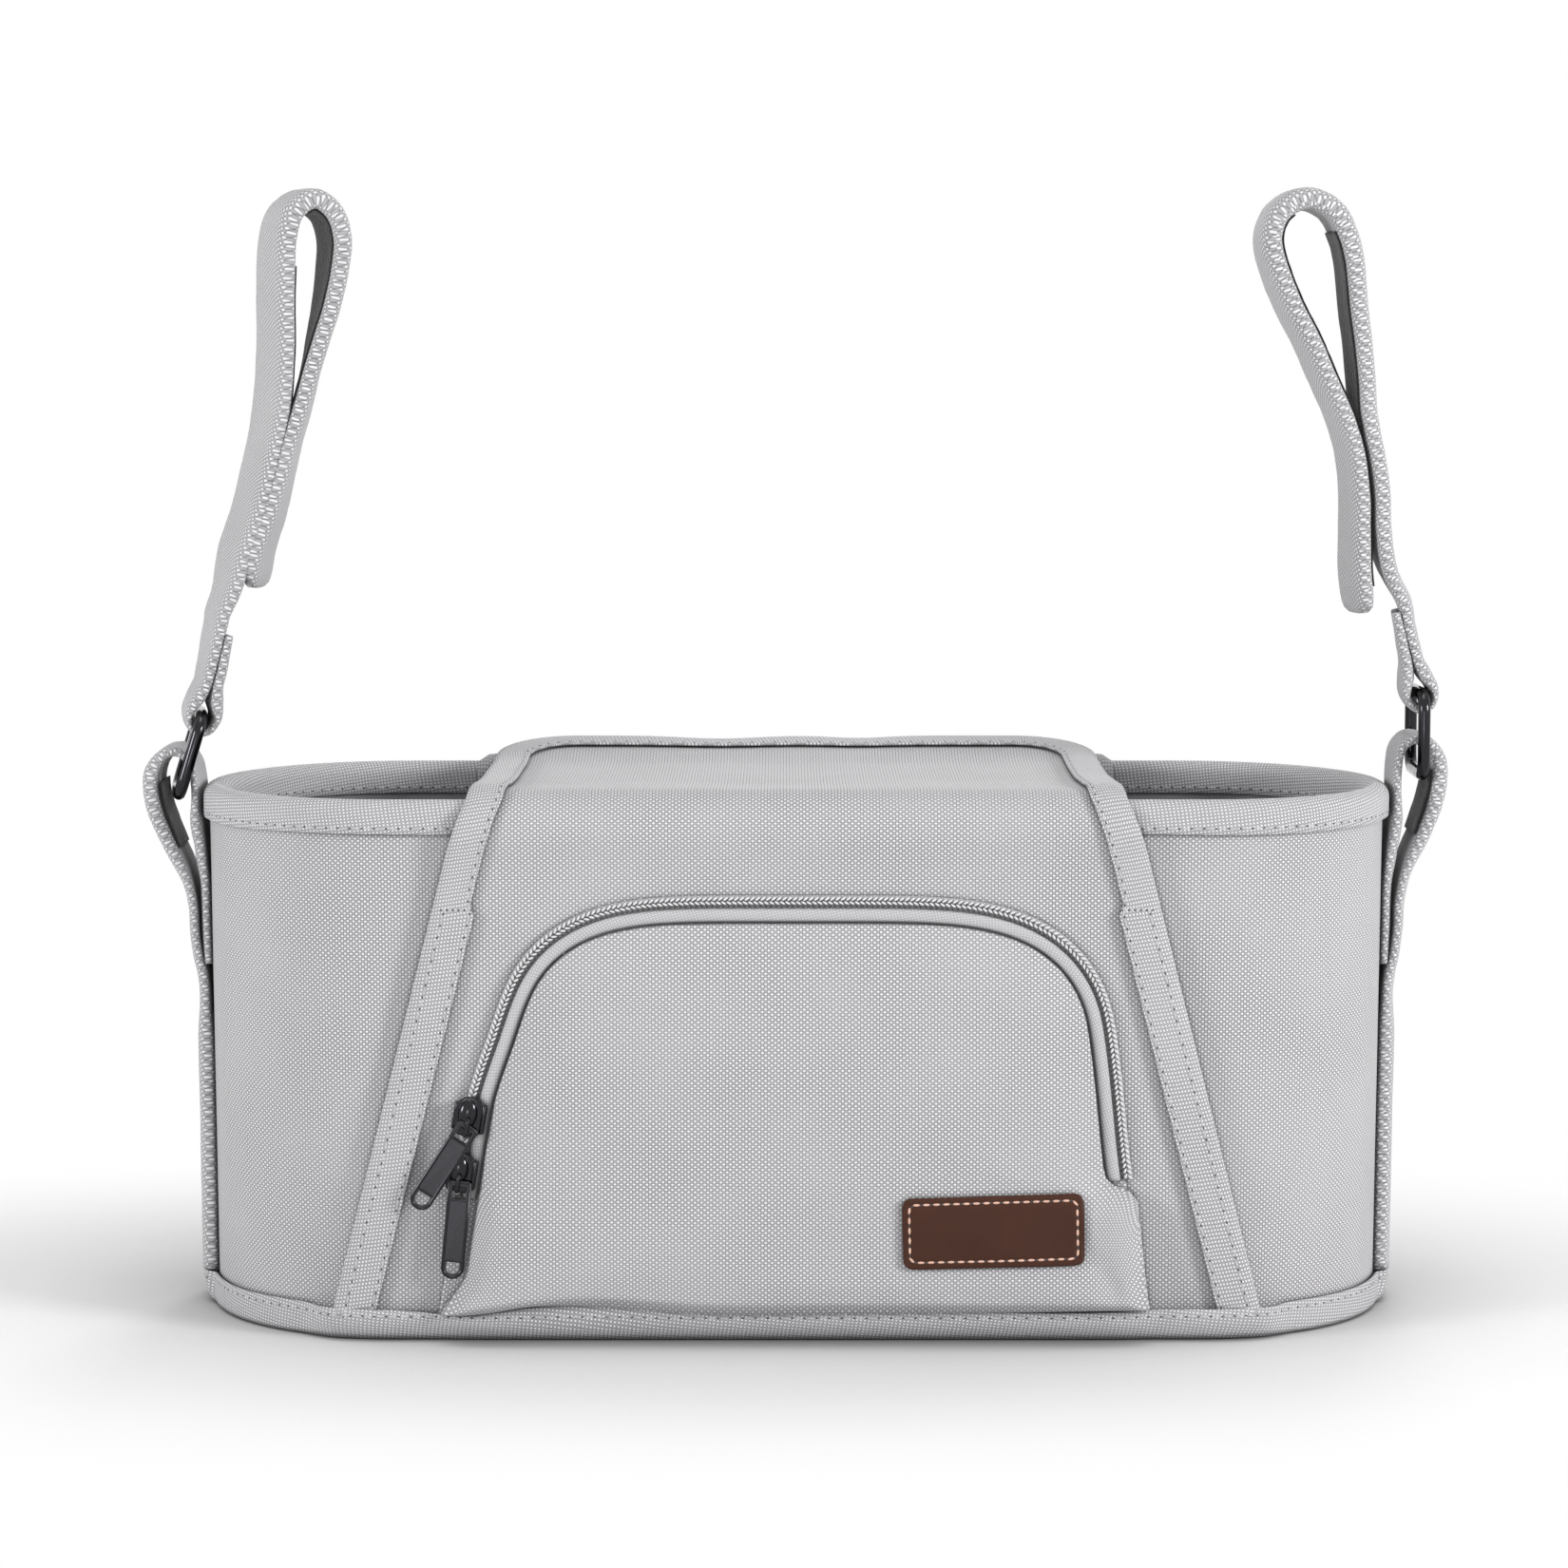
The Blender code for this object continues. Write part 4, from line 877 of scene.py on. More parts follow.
def pocket_half_width(z, side=0):
    """Half the pocket's width at a height; its left shoulder is rounder than its right one."""
    slope = (POCKET_BASE_WIDTH - POCKET_SHOULDER_WIDTH) / 2 / (POCKET_SHOULDER - 9.8)
    half = POCKET_BASE_WIDTH / 2 - slope * (z - 9.8)
    rise = (z - POCKET_SHOULDER) / (POCKET_TOP - POCKET_SHOULDER)
    if rise > 0:
        half *= max(1 - rise ** 2.2, 0.0) ** 0.2
    if side < 0:
        half -= 4.8 * step_up(z, 66, 102) * half / 85
    elif side > 0:
        half -= 2.2 * (1 - step_up(z, 42, 92))
    return half


def pocket_outline(left_foot, right_foot):
    """The pocket's (x, z) edge from its left foot over the top to its right foot."""
    arch = POCKET_TOP - POCKET_SHOULDER
    low = [36.0 + 4 * i for i in range(14)]
    heights = [POCKET_SHOULDER + arch * (1 - (1 - i / 24) ** 3) for i in range(24)]
    heights += [POCKET_TOP - 0.0008, POCKET_TOP - 0.00001]

    def leg(foot, side):
        rising = [foot] + [z for z in low if z > foot] + heights
        return [(side * pocket_half_width(z, side), z) for z in rising]

    return [Vector(p) for p in leg(left_foot, -1) + [(0.0, POCKET_TOP)] + leg(right_foot, 1)[::-1]]


def offset_line(points, out):
    """Move an open line of (x, z) points to its left side."""
    moved = []
    for index, point in enumerate(points):
        before = points[max(index - 1, 0)]
        after = points[min(index + 1, len(points) - 1)]
        along = (after - before).normalized()
        moved.append(Vector((point.x - along.y * out, point.y + along.x * out)))
    return moved


def on_front(x, z, lift):
    """A point on the lid's front face, lifted off it."""
    return Vector((x, -LID_FRONT - lift, z))


def front_line(points, out, lift):
    """A line on the lid's front, moved aside and lifted off it."""
    return [on_front(p.x, p.y, lift) for p in offset_line(points, out)]


def face_flare(z, side):
    """How far the pocket's face reaches past the zip's line below the zip's end."""
    if side < 0:
        return (1 - step_up(z, 9, 21)) * 5.5
    reach = 8.6 - 1.6 * (1 - step_up(z, 8, 47))
    return (1 - step_up(z, ZIP_END_RIGHT - 3.5, ZIP_END_RIGHT + 0.5)) * reach


def pocket_sides():
    """The pocket face's four sides, each as an evenly spaced line of (x, z) points."""
    low = [POCKET_FOOT + (POCKET_SHOULDER - POCKET_FOOT) * i / 40 for i in range(40)]
    outline = pocket_outline(POCKET_SHOULDER, POCKET_SHOULDER)
    turn = max(range(len(outline) // 2), key=lambda i: outline[i].y - outline[i].x)
    last = min(range(len(outline) // 2, len(outline)), key=lambda i: -outline[i].y - outline[i].x)

    def leg(side):
        return [Vector((side * (pocket_half_width(z, side) + face_flare(z, side)), z)) for z in low]

    left = leg(-1) + outline[:turn + 1]
    right = leg(1) + outline[:last - 1:-1]
    top = outline[turn:last + 1]
    return resample(left, 60), resample(top, 90), resample(right, 60)


def along_side(side, share):
    """A point at a share of an evenly spaced line."""
    reach = min(max(share, 0.0), 1.0) * (len(side) - 1)
    index = min(int(reach), len(side) - 2)
    return side[index].lerp(side[index + 1], reach - index)


def pocket_spot(sides, u, v):
    """A point inside the pocket face's outline, blended from its four sides."""
    left, top, right = sides
    low = left[0].lerp(right[0], u)
    high = along_side(top, u)
    near = along_side(left, v)
    far = along_side(right, v)
    corners = (left[0] * (1 - u) + right[0] * u) * (1 - v) + (top[0] * (1 - u) + top[-1] * u) * v
    return low * (1 - v) + high * v + near * (1 - u) + far * u - corners


def denser_edges(share):
    """Crowd evenly spaced shares towards 0 and 1."""
    return share - 0.82 * math.sin(2 * math.pi * share) / (2 * math.pi)


# Straps

def side_frame(side, out, up, yaw=0.0):
    """A frame at a bag end: x points out from the bag, y up, and z along the strap's width."""
    origin = Vector((side * (HALF_LENGTH + out), 0, BODY_HEIGHT + up)) * MM
    outward = Vector((side, 0, 0))
    upward = Vector((0, 0, 1))
    axes = Matrix((outward, upward, outward.cross(upward))).transposed().to_4x4()
    return Matrix.Translation(origin) @ Matrix.Rotation(math.radians(yaw), 4, "Z") @ axes


def ring_frame(side):
    """The frame on a ring's lower bar."""
    out, up = RING_PLACE[side]
    return side_frame(side, out, up, RING_YAW[side])


def strap_frame(side):
    """The frame on a ring's upper bar, which the strap hangs on."""
    lean = math.radians(RING_LEAN[side])
    top = Vector((-math.sin(lean), math.cos(lean), 0)) * RING_HEIGHT * MM
    return ring_frame(side) @ Matrix.Translation(top)


def between_marks(marks, share):
    """A value read off a list of (share, value) marks."""
    for (low, first), (high, second) in zip(marks, marks[1:]):
        if share <= high:
            return first + (second - first) * step_up(share, low, high)
    return marks[-1][1]


def turned_path(path, turns):
    """The path with a fourth value for each point: its turn about the upright."""
    marks = path_lengths([p[:2] for p in path])
    return [(*p[:3], math.radians(between_marks(turns, mark / marks[-1]))) for p, mark in zip(path, marks)]


def band(name, path, width, frame_matrix, puff=None, tail=0.0, around=24, hug=None):
    """A band of cloth: a rounded flat section carried along (x, y, thickness, turn) points.

    puff(share) gives how far the left and the right face swell; hug(y) bends the band over the round end.
    """
    marks = path_lengths([p[:2] for p in path])
    total = marks[-1]

    def place(u, v):
        index = round(u * (len(path) - 1))
        x, y, thick, turn = path[index]
        before = Vector(path[max(index - 1, 0)][:2])
        after = Vector(path[min(index + 1, len(path) - 1)][:2])
        along = (after - before).normalized()
        wide = width
        if tail and marks[index] < tail:
            short = (tail - marks[index]) / tail
            wide *= 0.55 + 0.45 * math.sqrt(max(1 - short ** 2, 0.0))
            thick *= 0.5 + 0.5 * math.sqrt(max(1 - short ** 4, 0.0))
        left, right = puff(marks[index] / total) if puff else (0.0, 0.0)
        angle = 2 * math.pi * v
        across = math.copysign(abs(math.cos(angle)) ** 0.35, math.cos(angle)) * wide / 2
        full = abs(math.sin(angle)) ** 0.7
        up = full * (thick / 2 + left) if math.sin(angle) >= 0 else -full * (thick / 2 + right)
        crease = 0.14 * noise.noise(Vector((marks[index] * 0.11, across * 0.09, x + 40)))
        aside = -along.y * (up + crease)
        high = y + along.x * (up + crease)
        local = Vector((x + aside * math.cos(turn) + across * math.sin(turn), high,
                        across * math.cos(turn) - aside * math.sin(turn)))
        if hug:
            local.x -= hug(y) * across ** 2 / (2 * HALF_DEPTH ** 2 / END_ROUND)
        return (frame_matrix @ (local * MM)) / MM

    def lay(u, v):
        angle = 2 * math.pi * v
        across = math.copysign(abs(math.cos(angle)) ** 0.35, math.cos(angle)) * STRAP_WIDTH / 2
        cut = STRAP_WIDTH / 2 - across if v <= 0.5 else 3 * STRAP_WIDTH / 2 + across
        return (marks[round(u * (len(path) - 1))], cut)

    obj = shaped_grid(name, len(path) - 1, around, place, lay)
    close_ends(obj)
    return obj


def close_ends(obj):
    """Merge a tube's seam and fill its open ends."""
    select_only(obj)
    bpy.ops.object.mode_set(mode="EDIT")
    bpy.ops.mesh.select_all(action="SELECT")
    bpy.ops.mesh.remove_doubles(threshold=1e-6)
    bpy.ops.mesh.select_all(action="DESELECT")
    bpy.ops.mesh.select_non_manifold()
    bpy.ops.mesh.edge_face_add()
    bpy.ops.mesh.select_all(action="SELECT")
    bpy.ops.mesh.normals_make_consistent(inside=False)
    bpy.ops.object.mode_set(mode="OBJECT")


def eye_points():
    """The strap's turn under the ring's bar, as (out, up, thickness) from that bar."""
    lean = math.radians(13.0)
    along = Vector((-math.sin(lean), math.cos(lean)))
    away = Vector((math.cos(lean), math.sin(lean)))
    stations = [(1.6, 28.0, 4.4), (1.5, 21.0, 4.1), (1.5, 14.5, 3.9), (1.6, 9.8, 3.9), (2.6, 5.6, 4.2),
                (4.0, 1.4, 3.1), (3.8, -1.6, 2.4), (2.4, -4.1, 2.0), (0.0, -5.1, 2.0), (-2.4, -4.1, 2.0),
                (-3.8, -1.6, 2.4), (-4.0, 1.4, 3.0), (-2.6, 5.6, 4.2), (-1.6, 9.8, 3.9), (-1.4, 14.5, 3.9),
                (-1.2, 19.5, 3.7), (-1.1, 25.5, 3.0)]
    return [(away.x * out + along.x * up, away.y * out + along.y * up, thick) for out, up, thick in stations]


def facing_path(path, first, last, away):
    """A touch tape's middle line: a band's, between two shares of its length, moved to one side."""
    marks = path_lengths([p[:2] for p in path])
    moved = []
    for index, (x, y, thick, turn) in enumerate(path):
        if not first <= marks[index] / marks[-1] <= last:
            continue
        before = Vector(path[max(index - 1, 0)][:2])
        after = Vector(path[min(index + 1, len(path) - 1)][:2])
        along = (after - before).normalized()
        shift = (thick / 2 + 0.2) * away
        moved.append((x - along.y * shift * math.cos(turn), y + along.x * shift, 0.8, turn))
    return moved


class ORGANIZER_OT_stage(bpy.types.Operator):
    """Set the camera at the photograph's angle, the pale floor with a painted shadow by the bag, and the soft
    lights
    """
    bl_idname = "organizer.stage"
    bl_label = "Stage"

    def execute(self, context):
        scene = context.scene
        scene.view_settings.view_transform = "Standard"
        bpy.ops.object.camera_add(location=CAMERA_PLACE, rotation=(math.radians(90 - CAMERA_DIP), 0.0, 0.0))
        camera = context.active_object
        camera.name = "camera"
        camera.data.lens = sizes().camera_lens
        camera.data.sensor_width = 36.0
        camera.data.clip_start = 0.01
        scene.camera = camera

        bpy.ops.mesh.primitive_plane_add(size=16.0, location=(0, 0, -0.0002))
        floor = context.active_object
        floor.name = "floor"
        apply_place(floor)
        material, tree, shader = new_material("Matt white paper", 0.95, Specular_IOR_Level=0.1)
        place = add_node(tree, "ShaderNodeTexCoord")
        middle = add_node(tree, "ShaderNodeMapping",
                          {"Vector": place.outputs["Object"], "Scale": (0.8, 1.6, 1.0)})
        far = add_node(tree, "ShaderNodeVectorMath", {0: middle.outputs[0]}, operation="LENGTH")
        fade = add_node(tree, "ShaderNodeMapRange",
                        {0: far.outputs["Value"], 1: 0.2, 2: 0.42, 3: 0.0, 4: 1.0},
                        interpolation_type="SMOOTHSTEP")
        # Painted shadow: the paper's colour darkens to grey where ambient occlusion finds the bag near.
        corner = add_node(tree, "ShaderNodeAmbientOcclusion", {"Distance": 0.2}, samples=12)
        tone = add_node(tree, "ShaderNodeMix",
                        {0: corner.outputs["AO"], 6: linear("#6E6E6E"), 7: linear("#FFFFFF")},
                        data_type="RGBA")
        tree.links.new(tone.outputs[2], shader.inputs["Base Color"])
        glow = add_node(tree, "ShaderNodeEmission", {"Color": (1, 1, 1, 1), "Strength": 1.0})
        blend = add_node(tree, "ShaderNodeMixShader",
                         {0: fade.outputs[0], 1: shader.outputs[0], 2: glow.outputs[0]})
        tree.links.new(blend.outputs[0], tree.nodes["Material Output"].inputs["Surface"])
        floor.data.materials.append(material)

        world = scene.world or bpy.data.worlds.new("studio")
        scene.world = world
        world.use_nodes = True
        tree = world.node_tree
        tree.nodes.clear()
        rays = add_node(tree, "ShaderNodeLightPath")
        seen = add_node(tree, "ShaderNodeMath", {0: rays.outputs["Is Camera Ray"],
                                                 1: rays.outputs["Is Transmission Ray"]}, operation="MAXIMUM")
        mirrored = add_node(tree, "ShaderNodeMath", {0: seen.outputs[0], 1: rays.outputs["Is Glossy Ray"]},
                            operation="MAXIMUM")
        fill = add_node(tree, "ShaderNodeBackground", {"Color": (1, 1, 1, 1), "Strength": 0.36})
        white = add_node(tree, "ShaderNodeBackground", {"Color": (1, 1, 1, 1), "Strength": 1.0})
        both = add_node(tree, "ShaderNodeMixShader",
                        {0: mirrored.outputs[0], 1: fill.outputs[0], 2: white.outputs[0]})
        add_node(tree, "ShaderNodeOutputWorld", {0: both.outputs[0]})

        for name, place, size, power in LAMPS:
            bpy.ops.object.light_add(type="AREA", location=place)
            lamp = context.active_object
            lamp.name = name
            lamp.data.size = size
            lamp.data.energy = power
            lamp.rotation_euler = (Vector((0, 0, 0.12)) - Vector(place)).to_track_quat("-Z", "Y").to_euler()
        return {"FINISHED"}


class ORGANIZER_OT_walls(bpy.types.Operator):
    """Make the padded walls, the tapes round the rim and the base, and the cloth under the base"""
    bl_idname = "organizer.walls"
    bl_label = "Walls and tapes"

    def execute(self, context):
        low = 1.6
        high = BODY_HEIGHT - 2.6

        def wall(u, v):
            z = low + (high - low) * v
            return plan_point(u * ROUND, z, wall_out(u * ROUND, z) - 0.15)

        def wall_cut(u, v):
            return (u * ROUND, low + (high - low) * v)

        walls = shaped_grid("outer_walls", PLAN_STEPS, 40, wall, wall_cut)
        merge_closed(walls, outwards=False)
        face_towards(walls, (-1, 0, 0))
        give_thickness(walls, WALL_THICKNESS)
        dress(walls, bag_cloth(), "bag", "front_panel", "rear_panel", "front_padding", "rear_padding")

        outer = 1.75
        inner = -6.2
        rim_low = BODY_HEIGHT - RIM_TAPE_HEIGHT
        middle = (outer + inner) / 2
        radius = (outer - inner) / 2
        section = [(outer - 0.35, rim_low), (outer - 0.05, rim_low + 0.15), (outer, rim_low + 2.5)]
        section += arc(middle, BODY_HEIGHT - radius, radius, 0, 180, 10)
        section += [(inner, rim_low + 2.5), (inner, rim_low + 0.3), (inner + 0.3, rim_low),
                    (inner + 1.0, rim_low)]
        section += arc(middle, BODY_HEIGHT - radius, radius - 1.1, 180, 0, 8)
        section += [(outer - 1.0, rim_low + 0.1)]

        def puckers(around, out, z):
            ripple = noise.noise(Vector((around * 0.05, z * 0.1, 1.0)))
            ripple *= 0.18 * math.sin(around * 2 * math.pi / 7.2)
            wave = 0.5 * noise.noise(Vector((around * 0.018, 3.0, 8.0)))
            return out + ripple, z + wave * (1 - step_up(z, rim_low + 1, rim_low + 7))

        rim = ring_of("rim_tape", section, 0.0, "rim_binding", puckers)
        sew("rim_outer", plan_line(rim_low + 1.8, outer + 0.4), rim, "bag")
        sew("rim_inner", plan_line(rim_low + 1.8, inner - 0.3), rim, "bag")

        section = [(0.75, BASE_TAPE_HEIGHT), (1.35, BASE_TAPE_HEIGHT + 0.05), (1.55, BASE_TAPE_HEIGHT - 0.25),
                   (1.55, 7.0), (1.6, 4.0), (1.5, 1.6), (1.1, 0.5), (0.3, 0.05), (-1.2, 0.0), (-2.7, 0.0),
                   (-2.7, 1.2), (-0.5, 1.2), (0.2, 1.6), (0.4, 3.0), (0.6, 6.0)]

        def cover_lift(around):
            spot = plan_point(around, 0, 0)
            if spot.y > 0 and abs(spot.x) < 150:
                return 0.0
            under_strap = 2.9 * (1 - step_up(abs(spot.y), 11.5, 15.5)) * (abs(spot.x) > 150)
            return (5.4 * (1 - step_up(abs(spot.x), 134, 146)) + 2.2 * (1 - step_up(abs(spot.x), 92, 106))
                    + under_strap)

        def cover(around, out, z):
            lift = cover_lift(around)
            ripple = 0.25 * noise.noise(Vector((around * 0.045, z * 0.08, 5.0)))
            spot = plan_point(around, 0, 0)
            pulled = foot_wave(spot.x) if spot.y < 0 else 0.0
            wave = (pulled + 0.7 * noise.noise(Vector((around * 0.022, 1.0, 3.0)))) * step_up(z, 4, 9)
            return out + (lift + ripple) * (0.35 + 0.65 * step_up(z, 0, 6)), z + wave

        base = ring_of("base_tape", section, 40.0, "base_binding", cover)
        row = [plan_point(around, BASE_TAPE_HEIGHT - 1.9, 2.6 + cover_lift(around))
               for around in (ROUND * i / 300 for i in range(301))]
        sew("base_tape", row, base, "bag")

        def floor_cloth(u, v):
            spot = plan_point(u * ROUND, 0.6, BASE_CLOTH_OUT)
            share = 1 - v
            return Vector((spot.x * share, spot.y * share, 0.45 + 0.12 * noise.noise(spot * share * 0.03)))

        def floor_cut(u, v):
            spot = plan_point(u * ROUND, 0, BASE_CLOTH_OUT) * (1 - v)
            return (spot.x, spot.y)

        cloth = shaped_grid("base_cloth", 96, 8, floor_cloth, floor_cut)
        merge_closed(cloth, outwards=False)
        face_towards(cloth, (0, 0, -1))
        give_thickness(cloth, CLOTH_THICKNESS)
        dress(cloth, bag_cloth(), "bag", "base_panel")
        board = bpy.data.objects["base_board"]
        for slot in board.material_slots:
            slot.material = pressed_board()
        return {"FINISHED"}


class ORGANIZER_OT_inside(bpy.types.Operator):
    """Make the lining and the two padded walls that part the bays"""
    bl_idname = "organizer.inside"
    bl_label = "Lining and dividers"

    def execute(self, context):
        floor = LINING_FLOOR
        top = BODY_HEIGHT - 3.0

        def lining(u, v):
            around = u * ROUND
            if v > 0.25:
                z = floor + (top - floor) * (v - 0.25) / 0.75
                crease = noise.noise(Vector((around * 0.03, z * 0.012, 12.0)))
                crease += 0.5 * noise.noise(Vector((around * 0.08, z * 0.03, 15.0)))
                fade = math.sin(math.pi * min((z - floor) / (top - floor), 1.0))
                return plan_point(around, z, LINING_OUT - 0.8 * abs(crease) * fade)
            share = v / 0.25
            spot = plan_point(around, floor, LINING_OUT)
            return Vector((spot.x * share, spot.y * share, floor))

        def lining_cut(u, v):
            if v > 0.25:
                return (u * ROUND, 60 + (top - floor) * (v - 0.25) / 0.75)
            spot = plan_point(u * ROUND, floor, LINING_OUT) * (v / 0.25)
            return (spot.x, spot.y)

        cloth = shaped_grid("lining_cloth", PLAN_STEPS, 48, lining, lining_cut)
        merge_closed(cloth, outwards=False)
        face_towards(cloth, (0, 0, -1))
        give_thickness(cloth, LINING_THICKNESS)
        dress(cloth, lining_cloth(), "bag", "lining")

        for side, word in SIDES:
            name = word + "_divider"
            low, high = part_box(name)
            low = Vector(low) / MM
            high = Vector(high) / MM

            def padded_wall(u, v, low=low, high=high):
                angle = 2 * math.pi * v
                y = low.y + 0.3 + (high.y - low.y - 0.6) * u
                half = (high.z - low.z) / 2
                crown = math.sin(math.pi * min(max(u, 0.02), 0.98)) ** 0.3
                thick = (high.x - low.x) / 2 * (0.35 + 0.65 * crown)
                c = math.cos(angle)
                s = math.sin(angle)
                z = (low.z + high.z) / 2 + math.copysign(abs(s) ** 0.3, s) * half
                puff = 0.4 * noise.noise(Vector((y * 0.05, z * 0.05, side * 3.0)))
                x = (low.x + high.x) / 2 + math.copysign(abs(c) ** 0.6, c) * (thick + puff * abs(c))
                return Vector((x, y, z))

            pad = shaped_grid(name + "_pad", 40, 40, padded_wall, lambda u, v: (u * 120, v * 280),
                              closed=True)
            close_ends(pad)
            dress(pad, lining_cloth(), "bag", name)
        return {"FINISHED"}


class ORGANIZER_OT_lid(bpy.types.Operator):
    """Make the lid's cloth, the tape folded over its edge and the band it closes on"""
    bl_idname = "organizer.lid"
    bl_label = "Lid"

    def execute(self, context):
        straight = LID_LENGTH - LID_CORNER
        rows = [straight * i / 110 for i in range(111)]
        rows += [straight + LID_CORNER * math.sin(math.pi / 2 * i / 14) for i in range(1, 15)]
        last = len(rows) - 1

        def lid(u, v):
            s = rows[round(v * last)]
            x = (2 * u - 1) * max(lid_half_width(s), 0.5)
            return lid_point(x, s, 0.0)

        def lid_cut(u, v):
            s = rows[round(v * last)]
            return ((2 * u - 1) * lid_half_width(s), s)

        cloth = shaped_grid("lid_cloth", 60, last, lid, lid_cut)
        face_towards(cloth, (0, -1, 0))
        give_thickness(cloth, LID_THICKNESS)
        dress(cloth, bag_cloth(), "bag", "lid_panel")

        edge = lid_edge()
        under = -LID_THICKNESS - 0.25
        shares = [1.0, 0.97, 0.75, 0.5, 0.25, 0.08]

        def fold(s):
            wide = lid_tape_width(s)
            doubled = 0.5 * (1 - step_up(s, BAR_TACK - LID_FOOT - 0.5, BAR_TACK - LID_FOOT + 0.5))
            section = [(-wide * share, 1.5 + doubled + 0.2 * math.sin(math.pi * share)) for share in shares]
            section += [(0.75, 1.3), (1.15, 0.6), (1.25, -0.8), (1.15, -2.2), (0.75, -2.75)]
            section += [(-wide * share, under - 0.95) for share in reversed(shares)]
            return section

        count = len(fold(0.0)) - 1

        def tape(u, v):
            x, s, away = edge[round(u * (len(edge) - 1))]
            out, lift = fold(s)[round(v * count)]
            return lid_point(x + away.x * out, s + away.y * out, lift)

        edge_marks = path_lengths([(x, s) for x, s, away in edge])
        fold_marks = path_lengths(fold(0.0))

        def tape_cut(u, v):
            return (edge_marks[round(u * (len(edge) - 1))], fold_marks[round(v * count)])

        binding = shaped_grid("lid_tape", len(edge) - 1, count, tape, tape_cut)
        face_towards(binding, (0, -1, 0))
        give_thickness(binding, CLOTH_THICKNESS)
        dress(binding, bias_tape(), "bag", "lid_binding")
        sew("lid_tape", lid_tape_seam(), binding, "bag")
        tack = BAR_TACK - LID_FOOT
        for side, word in SIDES:
            steps = [tack * i / 30 for i in range(31)]
            row = [lid_point(side * (lid_half_width(s) - 2.4), s, SEAM_LIFT) for s in steps]
            sew(word + "_lid_side", row, binding, "bag")
            insets = [1.5 + 8.5 * i / 4 for i in range(5)]
            across = [lid_point(side * (lid_half_width(tack) - inset), tack, SEAM_LIFT) for inset in insets]
            sew(word + "_lid_tack", across, binding, "bag", pitch=1.7, length=0.6, width=1.1)

        band_outer = 2.9
        band_inner = -7.6
        top = BODY_HEIGHT + 2.4
        middle = (band_outer + band_inner) / 2
        radius = (band_outer - band_inner) / 2
        fold_over = [(band_outer - 0.3, top - 22.2), (band_outer, top - 21.8), (band_outer, top - 12)]
        fold_over += arc(middle, top - radius, radius, 0, 180, 12)
        fold_over += [(band_inner, top - 13.6), (band_inner + 0.3, top - 14), (band_inner + 1.1, top - 14)]
        fold_over += arc(middle, top - radius, radius - 1.2, 180, 0, 10)
        fold_over += [(band_outer - 1.2, top - 22)]
        ring = fold_over + fold_over[:1]
        marks = path_lengths(ring)

        def rear(u, v):
            out, z = ring[round(v * (len(ring) - 1))]
            x = (2 * u - 1) * REAR_BAND_WIDTH / 2
            wave = 0.3 * noise.noise(Vector((x * 0.05, z * 0.06, 21.0)))
            end = max(abs(x) - 93.5, 0.0) / 7.0
            drop = 2.6 * (1 - math.sqrt(max(1 - end ** 2, 0.0))) * step_up(z, top - 12, top - 2)
            return Vector((x, HALF_DEPTH + out + wave, z - drop))

        closing = shaped_grid("rear_band", 60, len(ring) - 1, rear,
                              lambda u, v: (u * 197, marks[round(v * (len(ring) - 1))]), closed=True)
        close_ends(closing)
        dress(closing, bag_cloth(), "bag", "rear_closing_band")
        line = [Vector((x, HALF_DEPTH + band_outer + 0.5, top - 20)) for x in range(-96, 97, 4)]
        sew("rear_band", line, closing, "bag")
        for side, word in SIDES:
            line = [Vector((side * 96.5, HALF_DEPTH + band_outer + 0.5, top - 20 + 3 * i)) for i in range(6)]
            sew(word + "_rear_band_end", line, closing, "bag")
        return {"FINISHED"}


